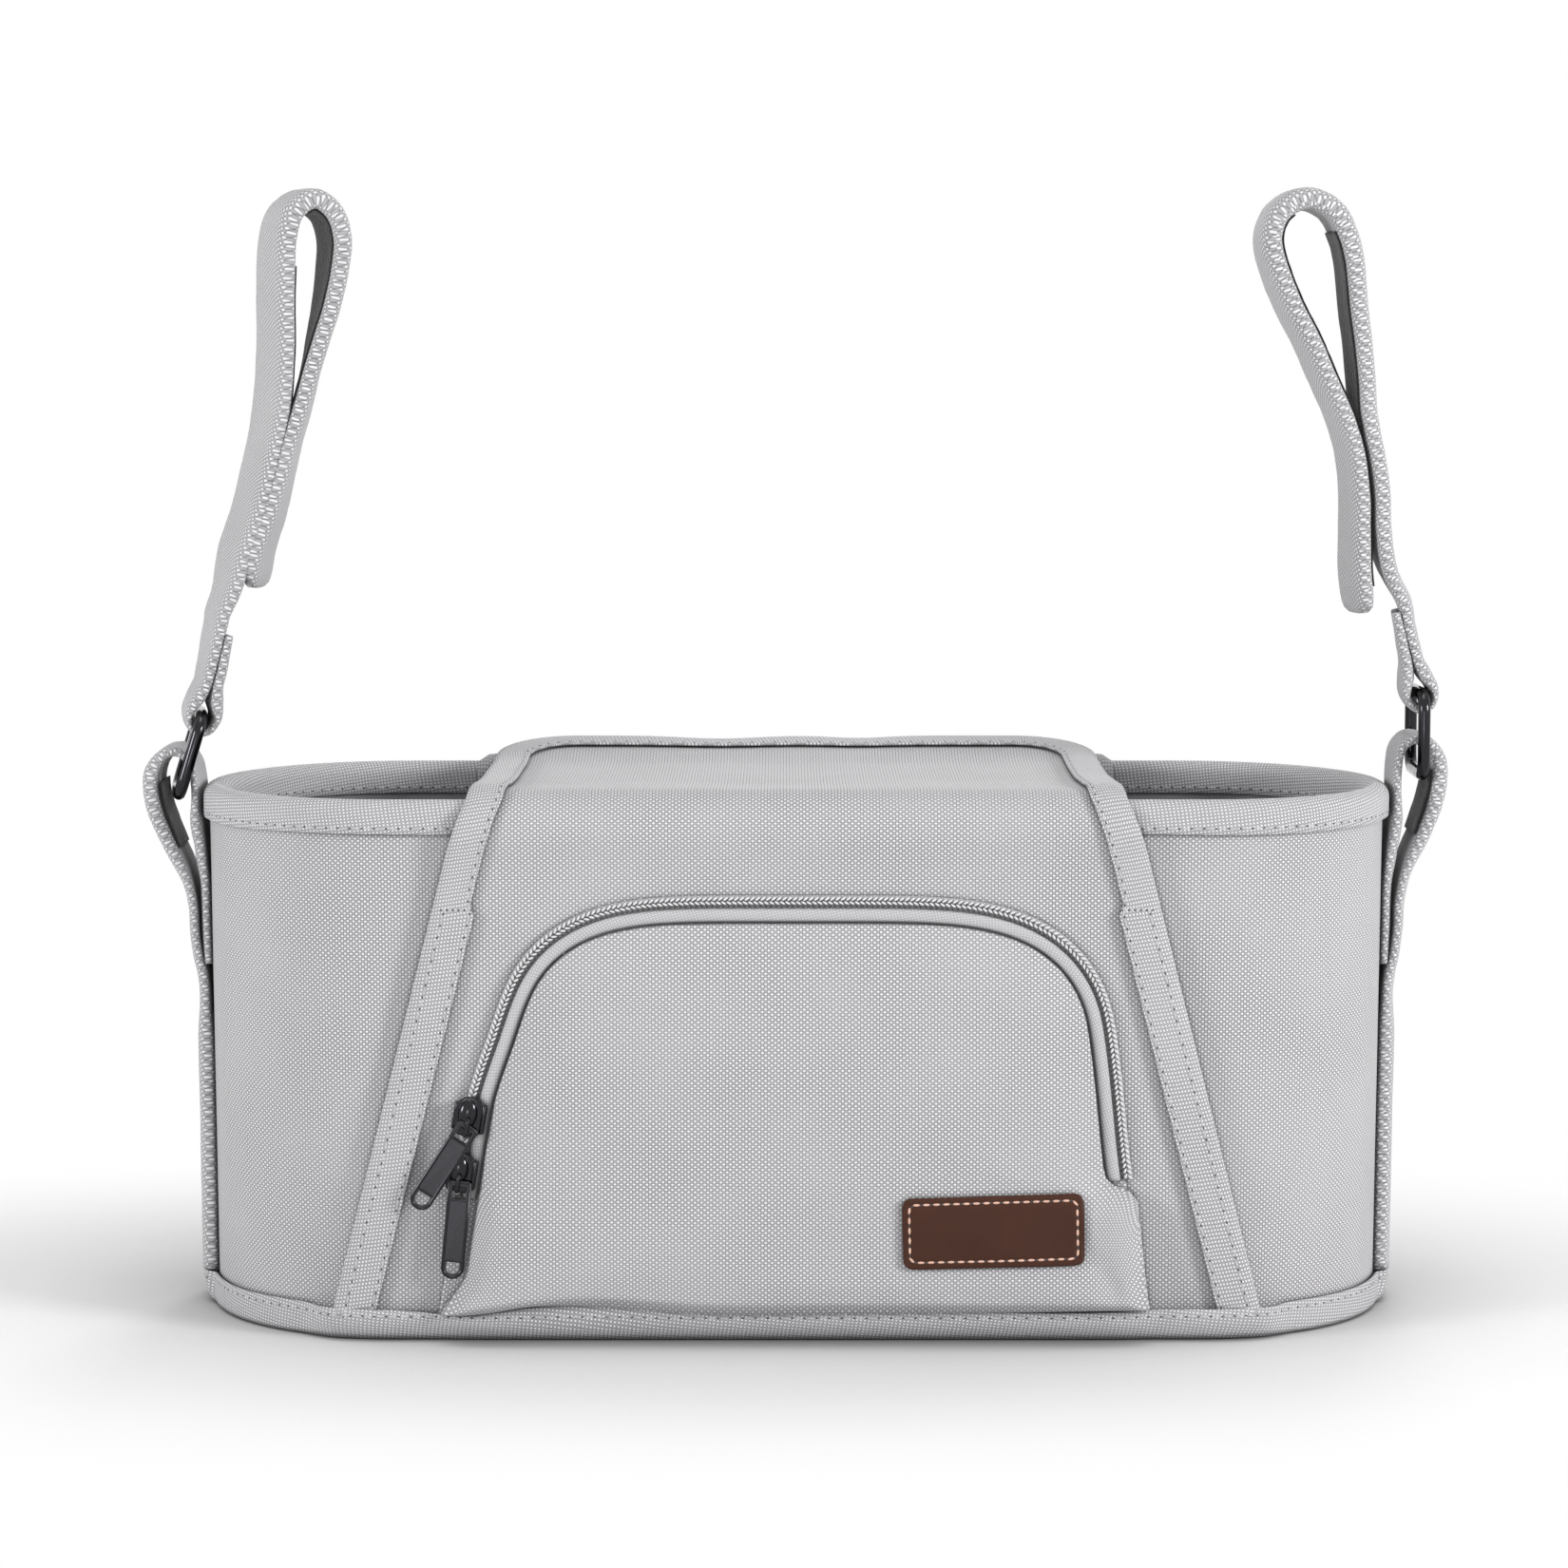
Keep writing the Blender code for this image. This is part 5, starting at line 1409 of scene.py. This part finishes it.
class ORGANIZER_OT_pocket(bpy.types.Operator):
    """Make the front pocket's face, filled out by a cloth simulation, and the cloth below the zip's ends"""
    bl_idname = "organizer.pocket"
    bl_label = "Front pocket"

    def execute(self, context):
        sides = pocket_sides()
        outline = sides[0] + sides[1] + sides[2][::-1]
        edge_line = [outline[i] for i in range(0, len(outline), 2)]

        def edge_distance(spot):
            near = min(edge_line, key=lambda p: (p - spot).length_squared)
            index = edge_line.index(near)
            best = (near - spot).length
            for other in (index - 1, index + 1):
                if not 0 <= other < len(edge_line):
                    continue
                along = edge_line[other] - near
                share = min(max((spot - near).dot(along) / max(along.length_squared, 1e-9), 0.0), 1.0)
                best = min(best, (near + along * share - spot).length)
            return best

        def face(u, v):
            u = denser_edges(u)
            v = denser_edges(v)
            spot = pocket_spot(sides, u, v)
            away = edge_distance(spot)
            above_foot = spot.y - POCKET_FOOT
            over_zip = step_up(spot.y, ZIP_END_RIGHT - 9, ZIP_END_RIGHT + 3)
            slope = (POCKET_BULGE_TOP - POCKET_BULGE_BASE) / (POCKET_TOP - POCKET_FOOT)
            deep = POCKET_BULGE_BASE + slope * above_foot
            turned = 1 - math.exp(-away / 0.16)
            free_edge = 1.0 + 2.4 * turned + (deep - 3.9) * (1 - (1 - min(away / 21, 1.0)) ** 2.1)
            sewn_edge = 0.9 + (deep - 1.6) * math.sqrt(max(1 - (1 - min(away / 8.5, 1.0)) ** 2, 0.0))
            lift = sewn_edge + (free_edge - sewn_edge) * over_zip
            foot = min(above_foot / 6.0, 1.0)
            lift = min(lift, 1.4 + (deep - 1.0) * math.sqrt(max(1 - (1 - foot) ** 2, 0.0)))
            fold = noise.noise(Vector((spot.x * 0.022, spot.y * 0.03, 6.0)))
            fold += 0.5 * noise.noise(Vector((spot.x * 0.055, spot.y * 0.05, 16.0)))
            inside = min(away / 20, above_foot / 14, 1.0)
            lift += 0.9 * fold * inside
            for corner, slant in ((-93.0, 1.0), (95.0, -1.0)):
                along = (spot.x - corner) * 0.5 * slant + (spot.y - 12) * 0.86
                aside = (spot.x - corner) * 0.86 * slant - (spot.y - 12) * 0.5
                reach = step_up(along, -4, 6) * (1 - step_up(along, 16, 36))
                lift -= 1.1 * reach * math.exp(-(aside / 2.6) ** 2) * min(away / 4, 1.0)
            pulled = foot_wave(spot.x) * (1 - step_up(above_foot, 0, 22))
            return on_front(spot.x, spot.y + pulled, lift)

        def face_cut(u, v):
            spot = pocket_spot(sides, denser_edges(u), denser_edges(v))
            lean = 0.4 * math.exp(-((abs(spot.x) - 99) / 8) ** 2) * (1 - step_up(spot.y, 30, 48))
            return (spot.x + lean * spot.y * math.copysign(1, spot.x), spot.y)

        pocket = shaped_grid("pocket_face", 90, 60, face, face_cut)
        face_towards(pocket, (0, -1, 0))
        hold = [1 - step_up(edge_distance(Vector((vert.co.x / MM, vert.co.z / MM))), 6, 14)
                for vert in pocket.data.vertices]
        self.fill_out(context, pocket, hold)
        give_thickness(pocket, POCKET_THICKNESS)
        dress(pocket, bag_cloth(), "bag", "pocket_front")

        for (side, word), top in zip(SIDES, (ZIP_END_LEFT, ZIP_END_RIGHT)):
            def gusset(u, v, side=side, top=top):
                z = 7.4 + (top + 1.0 - 7.4) * v
                x = pocket_half_width(z, side) - 5.0 + 11.0 * u
                fold = 0.5 * math.sin(math.pi * u) * (0.4 + 0.6 * v)
                return on_front(side * x, z, 0.9 + fold)

            cloth = shaped_grid(word + "_gusset_cloth", 10, 16, gusset, lambda u, v: (u * 11, v * 35))
            face_towards(cloth, (0, -1, 0))
            give_thickness(cloth, CLOTH_THICKNESS)
            dress(cloth, bag_cloth(), "bag", word + "_gusset")
        return {"FINISHED"}

    def fill_out(self, context, pocket, hold):
        """Run the cloth with its edges held and air behind it, and cap how far it moves."""
        start = [vert.co.copy() for vert in pocket.data.vertices]
        group = pocket.vertex_groups.new(name="sewn")
        for index, weight in enumerate(hold):
            if weight > 0.02:
                group.add([index], weight, "ADD")
        cloth = pocket.modifiers.new("Cloth", "CLOTH")
        cloth.settings.quality = 6
        cloth.settings.mass = 0.25
        cloth.settings.tension_stiffness = 18
        cloth.settings.compression_stiffness = 18
        cloth.settings.bending_stiffness = 1.2
        cloth.settings.vertex_group_mass = "sewn"
        cloth.settings.use_pressure = True
        cloth.settings.uniform_pressure_force = sizes().pocket_pressure
        cloth.settings.effector_weights.gravity = 0.0
        scene = context.scene
        scene.frame_start = 1
        scene.frame_end = 16
        for step in range(1, 17):
            scene.frame_set(step)
        apply_modifiers(pocket)
        scene.frame_set(1)
        most = POCKET_MOVE * MM
        for vert, was, weight in zip(pocket.data.vertices, start, hold):
            move = (vert.co - was) * (1 - weight)
            if move.length > most:
                move = move.normalized() * most
            vert.co = was + move


class ORGANIZER_OT_zip(bpy.types.Operator):
    """Make the zip's tapes and its coil, tooth by tooth, along the pocket's arch"""
    bl_idname = "organizer.zip"
    bl_label = "Zip"

    def execute(self, context):
        arch = resample(pocket_outline(ZIP_END_LEFT, ZIP_END_RIGHT), ARCH_STEPS)

        def strip(name, profile, node):
            """Carry a profile of (out, lift) points along the arch."""
            rows = [offset_line(arch, out) for out, lift in profile]
            marks = path_lengths(arch)
            last = len(profile) - 1

            def place(u, v):
                row = round(v * last)
                spot = rows[row][round(u * ARCH_STEPS)]
                return on_front(spot.x, spot.y, profile[row][1])

            def cut(u, v):
                return (marks[round(u * ARCH_STEPS)], profile[round(v * last)][0])

            tape = shaped_grid(name, ARCH_STEPS, last, place, cut)
            face_towards(tape, (0, -1, 0))
            give_thickness(tape, ZIP_TAPE_THICKNESS)
            dress(tape, zip_cloth(), "bag", node)

        face_tape = [(-6.0, 1.0), (-3.0, 0.9), (-0.3, 0.65), (0.3, 0.65), (0.55, 1.8), (1.2, 2.2),
                     (2.4, 2.35), (3.6, 2.25), (4.2, 1.9), (COIL_INNER - 0.1, 1.2)]
        under_tape = [(-2.6, 0.7), (1.0, 0.72), (4.0, 0.75), (COIL_INNER + COIL_WIDTH + 0.15, 0.85)]
        strip("zip_inner_tape_cloth", face_tape, "zip_inner_tape")
        strip("zip_outer_tape_cloth", under_tape, "zip_outer_tape")
        pitch = 1.55
        tooth = bead("tooth", 1.85, 0.78, 1.3, 8, 5)
        # Each row of teeth: its name, how far out it lies, its slant, and where it starts, in pitches
        rows = (("outer", 2.6, 0.62, 1.0), ("inner", 1.45, -0.5, 0.6))
        for word, out, sway, first in rows:
            line = front_line(arch, COIL_INNER + out, 1.75)
            row = repeat_along("zip_coil_" + word, tooth, line, pitch, start=first, sway=sway)
            dress(row, coil_nylon(), "bag", "zip_coil")
        bpy.data.objects.remove(tooth, do_unlink=True)
        # Dark beads beside the coil: painted shade in the needle holes of the zip's seam.
        hole = bead("hole", 0.95, 0.55, 0.5, 6, 3)
        row = repeat_along("zip_holes", hole, front_line(arch, COIL_INNER + 0.35, 1.55), pitch)
        dress(row, painted_hole_shade(), "bag")
        bpy.data.objects.remove(hole, do_unlink=True)
        return {"FINISHED"}


def slider_frame(z):
    """Where a slider sits: x towards the pocket, y up the zip's leg, z out of the lid's front."""
    delta = 4.0
    up = Vector((-pocket_half_width(z + delta) + pocket_half_width(z - delta), 0, 2 * delta)).normalized()
    out = Vector((0, -1, 0))
    side = up.cross(out)
    origin = on_front(-pocket_half_width(z), z, 1.1) - side * (COIL_INNER + COIL_WIDTH / 2)
    return Matrix.Translation(origin * MM) @ Matrix((side, up, out)).transposed().to_4x4()


def cast_block(size, place, round_off):
    """A rounded block: a cube scaled to its size, with its edges bevelled in edit mode."""
    bpy.ops.object.select_all(action="DESELECT")
    bpy.ops.mesh.primitive_cube_add(size=1.0)
    obj = bpy.context.active_object
    obj.scale = Vector(size) * MM
    obj.location = Vector(place) * MM
    apply_place(obj)
    bpy.ops.object.mode_set(mode="EDIT")
    bpy.ops.mesh.select_all(action="SELECT")
    bpy.ops.mesh.bevel(offset=round_off * MM, segments=3, affect="EDGES")
    bpy.ops.object.mode_set(mode="OBJECT")
    return obj


def rod(name, points, radius, closed=False):
    """A round rod along points in millimetres, made as a curve and turned into a mesh."""
    curve = bpy.data.curves.new(name, "CURVE")
    curve.dimensions = "3D"
    curve.bevel_depth = radius * MM
    curve.bevel_resolution = 4
    curve.use_fill_caps = True
    spline = curve.splines.new("POLY")
    spline.points.add(len(points) - 1)
    spline.use_cyclic_u = closed
    for point, place in zip(spline.points, points):
        point.co = (*(Vector(place) * MM), 1.0)
    obj = bpy.data.objects.new(name, curve)
    bpy.context.collection.objects.link(obj)
    select_only(obj)
    bpy.ops.object.convert(target="MESH")
    return bpy.context.active_object


def rounded_outline(width, height, corner, steps, cy=0.0):
    """A closed line round a rectangle with round corners, its middle at a height cy."""
    x = width / 2 - corner
    y = height / 2 - corner
    points = []
    for sx, sy, start in ((1, 1, 0), (-1, 1, 90), (-1, -1, 180), (1, -1, 270)):
        points += arc(sx * x, cy + sy * y, corner, start, start + 90, steps)
    return points


def plate_of(name, outlines, thickness, bevel):
    """A flat plate cut to its outlines, with its edges eased."""
    curve = bpy.data.curves.new(name, "CURVE")
    curve.dimensions = "2D"
    curve.fill_mode = "BOTH"
    curve.extrude = (thickness / 2 - bevel) * MM
    curve.bevel_depth = bevel * MM
    curve.bevel_resolution = 2
    curve.offset = -bevel * MM
    for outline in outlines:
        spline = curve.splines.new("POLY")
        spline.points.add(len(outline) - 1)
        spline.use_cyclic_u = True
        for point, (x, y) in zip(spline.points, outline):
            point.co = (x * MM, y * MM, 0.0, 1.0)
    obj = bpy.data.objects.new(name, curve)
    bpy.context.collection.objects.link(obj)
    select_only(obj)
    bpy.ops.object.convert(target="MESH")
    return bpy.context.active_object


def join_as(name, objects, matrix):
    """Join pieces into one, put it in place and smooth it up to its sharp edges."""
    select_only(*objects)
    if len(objects) > 1:
        bpy.ops.object.join()
    obj = bpy.context.view_layer.objects.active
    obj.name = name
    obj.matrix_world = matrix @ obj.matrix_world
    apply_place(obj)
    merge_closed(obj)
    select_only(obj)
    bpy.ops.object.shade_smooth_by_angle(angle=math.radians(40))
    return obj


class ORGANIZER_OT_sliders(bpy.types.Operator):
    """Cast the two zip sliders and their long pulls"""
    bl_idname = "organizer.sliders"
    bl_label = "Zip sliders"

    def execute(self, context):
        for word, height, shift, skew in SLIDERS:
            matrix = slider_frame(height)
            self.cast_slider(word, matrix)
            self.cast_pull(word, matrix @ Matrix.Translation(Vector((shift, -2.65, 4.2)) * MM)
                           @ Matrix.Rotation(-math.radians(skew), 4, "Z"))
        return {"FINISHED"}

    def cast_slider(self, word, matrix):
        crown = arc(0, 1.4, 4.7, 0, 180, 14) + [(-4.2, -2.0)] + arc(-1.9, -3.9, 1.7, 180, 270, 4)
        crown += arc(1.9, -3.9, 1.7, 270, 360, 4) + [(4.2, -2.0)]
        plate = plate_of("plate", [crown], 1.3, 0.4)
        plate.location = (0, 0, 2.4 * MM)
        apply_place(plate)
        bpy.ops.object.select_all(action="DESELECT")
        bpy.ops.mesh.primitive_uv_sphere_add(segments=28, ring_count=16, radius=1.0)
        dome = bpy.context.active_object
        dome.scale = (2.9 * MM, 4.6 * MM, 1.9 * MM)
        dome.location = (-0.5 * MM, 0.9 * MM, 2.7 * MM)
        apply_place(dome)
        flange = cast_block((1.5, 8.8, 2.8), (4.2, 0, 2.2), 0.6)
        wall = cast_block((1.2, 8.2, 2.4), (-4.1, 0, 1.7), 0.5)
        bow = [(-4.95, 2.8)] + arc(-4.0, 5.0, 0.95, 180, 90, 5) + arc(-1.2, 5.0, 0.95, 90, 0, 5)
        bail = rod("bail", [(0, y, z) for y, z in bow + [(-0.25, 2.8)]], 0.68)
        slider = join_as(word + "_slider_casting", [plate, dome, flange, wall, bail], matrix)
        dress(slider, black_nickel(), word + "_slider", word + "_slider")

    def cast_pull(self, word, matrix):
        half = PULL_WIDTH / 2
        top = PULL_THICKNESS / 2
        low = top - PULL_LENGTH
        outline = [(-half + 0.8, top), (half - 0.8, top), (half, -0.15)]
        outline += arc(0, low + half, half, 0, -180, 14)
        outline += [(-half, -0.15)]
        opening = PULL_OPENING / 2
        window = [(-opening, -0.75), (opening, -0.75), (opening, -4.6), (-opening, -4.6)]
        eye = [(-opening, low + half + 1.6), (opening, low + half + 1.6)]
        eye += arc(0, low + half, opening, 0, -180, 10)
        bar = plate_of("bar", [outline, window, eye], 0.8, 0.1)
        rim = [(-half + 0.55, -5.8), (-half + 0.55, 0.1), (half - 0.55, 0.1), (half - 0.55, low + half)]
        rim += arc(0, low + half, half - 0.55, -10, -170, 10)
        rim += [(-half + 0.55, low + half)]
        edge = rod("edge", [(x, y, 0.05) for x, y in rim], 0.56, closed=True)
        cross = rod("cross", [(-2.6, -4.95, 0.05), (2.6, -4.95, 0.05)], 0.5)
        lower = rod("lower", [(-2.6, low + half + 2.2, 0.05), (2.6, low + half + 2.2, 0.05)], 0.5)
        pull = join_as(word + "_pull_rim", [edge, cross, lower], matrix)
        dress(pull, black_nickel(), word + "_pull", word + "_pull")
        panel = join_as(word + "_pull_bar", [bar], matrix)
        dress(panel, blasted_nickel(), word + "_pull")


class ORGANIZER_OT_label(bpy.types.Operator):
    """Lay the sewn leather label on the pocket's face, bare of any mark"""
    bl_idname = "organizer.label"
    bl_label = "Leather label"

    def execute(self, context):
        host = bpy.data.objects["pocket_face"]
        middle = Vector((POCKET_BASE_WIDTH / 2 - LABEL_INSET, LABEL_RISE))
        turn = math.radians(LABEL_TURN)
        across = Vector((math.cos(turn), math.sin(turn)))
        up = Vector((-math.sin(turn), math.cos(turn)))
        wide = LABEL_LENGTH
        tall = LABEL_HEIGHT
        corner = LABEL_CORNER

        def outline_spot(u, v):
            a = (2 * u - 1) * wide / 2
            b = (2 * v - 1) * tall / 2
            over_a = abs(a) - (wide / 2 - corner)
            over_b = abs(b) - (tall / 2 - corner)
            if over_a > 0 and over_b > 0:
                far = max(over_a, over_b)
                pull = far / math.hypot(over_a, over_b)
                a = math.copysign(wide / 2 - corner + over_a * pull, a)
                b = math.copysign(tall / 2 - corner + over_b * pull, b)
            return a, b

        def skin(u, v):
            a, b = outline_spot(u, v)
            spot = middle + across * a + up * b
            found, place = host.ray_cast(Vector((spot.x, -200, spot.y)) * MM, Vector((0, 1, 0)))[:2]
            face = place.y / MM if found else -LID_FRONT - 12
            edge = min(wide / 2 - abs(a), tall / 2 - abs(b))
            puff = 0.35 * step_up(edge, 0.0, 1.2) - 0.22 * math.exp(-((edge - 2.1) / 0.7) ** 2)
            return Vector((spot.x, face - 1.25 - puff, spot.y))

        leather = shaped_grid("leather_label_skin", 106, 42, skin, lambda u, v: (u * wide, v * tall))
        face_towards(leather, (0, -1, 0))
        smooth = leather.modifiers.new("Settle", "SMOOTH")
        smooth.factor = 0.5
        smooth.iterations = 3
        apply_modifiers(leather)
        give_thickness(leather, LABEL_THICKNESS)
        dress(leather, label_leather(), "bag", "leather_label")
        inset = 2.1
        seam = []
        for a, b in rounded_outline(wide - 2 * inset, tall - 2 * inset, corner - 0.9, 5):
            spot = middle + across * a + up * b
            place = leather.ray_cast(Vector((spot.x, -200, spot.y)) * MM, Vector((0, 1, 0)))[1]
            seam.append(place / MM)
        seam.append(seam[0])
        reach = path_lengths(seam)[-1]
        sew("leather_label", seam, leather, "bag", pitch=reach / round(reach / 2.9), thread=waxed_thread(),
            width=0.78)
        return {"FINISHED"}


class ORGANIZER_OT_anchors(bpy.types.Operator):
    """Make the straps sewn down the bag's ends, folded into loops, and the two wire rings in them"""
    bl_idname = "organizer.anchors"
    bl_label = "Anchors and rings"

    def execute(self, context):
        for side, word in SIDES:
            path = []
            for out, up, thick in ANCHOR_PATH[side]:
                slant = (half_length(BODY_HEIGHT + min(up, 0.0)) - HALF_LENGTH) * (1 - step_up(up, -60, -30))
                path.append((out + slant, up, thick))
            path = [(*p, 0.0) for p in smooth_path(path, 6)]

            def puff(share):
                sewn_down = 1 - step_up(share, 0.3, 0.36)
                outer_leg = step_up(share, 0.5, 0.56) * (1 - step_up(share, 0.66, 0.7))
                inner_leg = step_up(share, 0.78, 0.82) * (1 - step_up(share, 0.86, 0.9))
                on_wall = step_up(share, 0.86, 0.9)
                left = 0.3 * outer_leg + 0.9 * inner_leg + 1.1 * sewn_down
                right = outer_leg + 0.9 * on_wall + 0.8 * sewn_down
                return left, right

            strap = band(word + "_anchor_band", path, BAND_WIDTH, side_frame(side, 0, 0), puff,
                         hug=lambda y: 1 - step_up(y, -30, -8))
            dress(strap, strap_cloth(), "bag", word + "_anchor_strap")
            inside = facing_path(path, 0.555, 0.655, 1.25)
            tape = band(word + "_anchor_tape", inside, BACKING_WIDTH, side_frame(side, 0, 0), around=10)
            dress(tape, hook_tape(), "bag", word + "_anchor_backing")
            outline = [(0.0, y, x) for x, y in
                       rounded_outline(RING_WIDTH, RING_HEIGHT, RING_CORNER, 8, RING_HEIGHT / 2)]
            ring = rod(word + "_ring_wire", outline, RING_WIRE / 2, closed=True)
            lean = Matrix.Rotation(math.radians(RING_LEAN[side]), 4, "Z")
            ring = join_as(word + "_ring_wire", [ring], ring_frame(side) @ lean)
            dress(ring, black_nickel(), word + "_ring", word + "_ring")
        return {"FINISHED"}


class ORGANIZER_OT_straps(bpy.types.Operator):
    """Make the two padded hanging straps with the touch tapes on their inner faces"""
    bl_idname = "organizer.straps"
    bl_label = "Hanging straps"

    def execute(self, context):
        for side, word in SIDES:
            path = [(x, y, 4.6 if side > 0 else 4.4) for x, y in STRAP_PATH[side]]
            path = turned_path(smooth_path(path + eye_points(), 6), STRAP_TURN[side])
            body = word + "_strap"

            def puff(share):
                loop = math.exp(-((share - 0.4) / 0.13) ** 2)
                legs = 1 - step_up(share, 0.72, 0.8)
                return 0.15 + 0.8 * legs + 1.2 * loop, 0.1

            strap = band(word + "_strap_band", path, BAND_WIDTH, strap_frame(side), puff, tail=8.0, around=28)
            dress(strap, strap_cloth(), body, word + "_strap")
            for kind, first, last in TOUCH_TAPES:
                name = word + "_" + kind + "_tape"
                inside = facing_path(path, first, last, -1.0)
                tape = band(name, inside, TOUCH_TAPE_WIDTH, strap_frame(side), around=10)
                dress(tape, hook_tape(), body, word + "_" + kind + "_strip")
        return {"FINISHED"}


class ORGANIZER_PT_panel(bpy.types.Panel):
    """The sizes, colours and steps of the organizer"""
    bl_idname = "ORGANIZER_PT_panel"
    bl_label = "Stroller Organizer"
    bl_space_type = "VIEW_3D"
    bl_region_type = "UI"
    bl_category = "Organizer"

    def draw(self, context):
        for group in (context.scene.organizer_sizes, context.scene.organizer_colours):
            for name in group.__annotations__:
                self.layout.prop(group, name)
        for step in STEPS:
            self.layout.operator(step.bl_idname)


STEPS = (ORGANIZER_OT_stage, ORGANIZER_OT_walls, ORGANIZER_OT_inside, ORGANIZER_OT_lid,
         ORGANIZER_OT_pocket, ORGANIZER_OT_zip, ORGANIZER_OT_sliders, ORGANIZER_OT_label,
         ORGANIZER_OT_anchors, ORGANIZER_OT_straps)
CLASSES = (OrganizerSizes, OrganizerColours, *STEPS, ORGANIZER_PT_panel)


def register():
    for cls in CLASSES:
        bpy.utils.register_class(cls)
    bpy.types.Scene.organizer_sizes = PointerProperty(type=OrganizerSizes)
    bpy.types.Scene.organizer_colours = PointerProperty(type=OrganizerColours)


def unregister():
    del bpy.types.Scene.organizer_colours
    del bpy.types.Scene.organizer_sizes
    for cls in reversed(CLASSES):
        bpy.utils.unregister_class(cls)


def main():
    register()
    bpy.ops.organizer.stage()
    bpy.ops.organizer.walls()
    bpy.ops.organizer.inside()
    bpy.ops.organizer.lid()
    bpy.ops.organizer.pocket()
    bpy.ops.organizer.zip()
    bpy.ops.organizer.sliders()
    bpy.ops.organizer.label()
    bpy.ops.organizer.anchors()
    bpy.ops.organizer.straps()


if __name__ == "__main__":
    main()
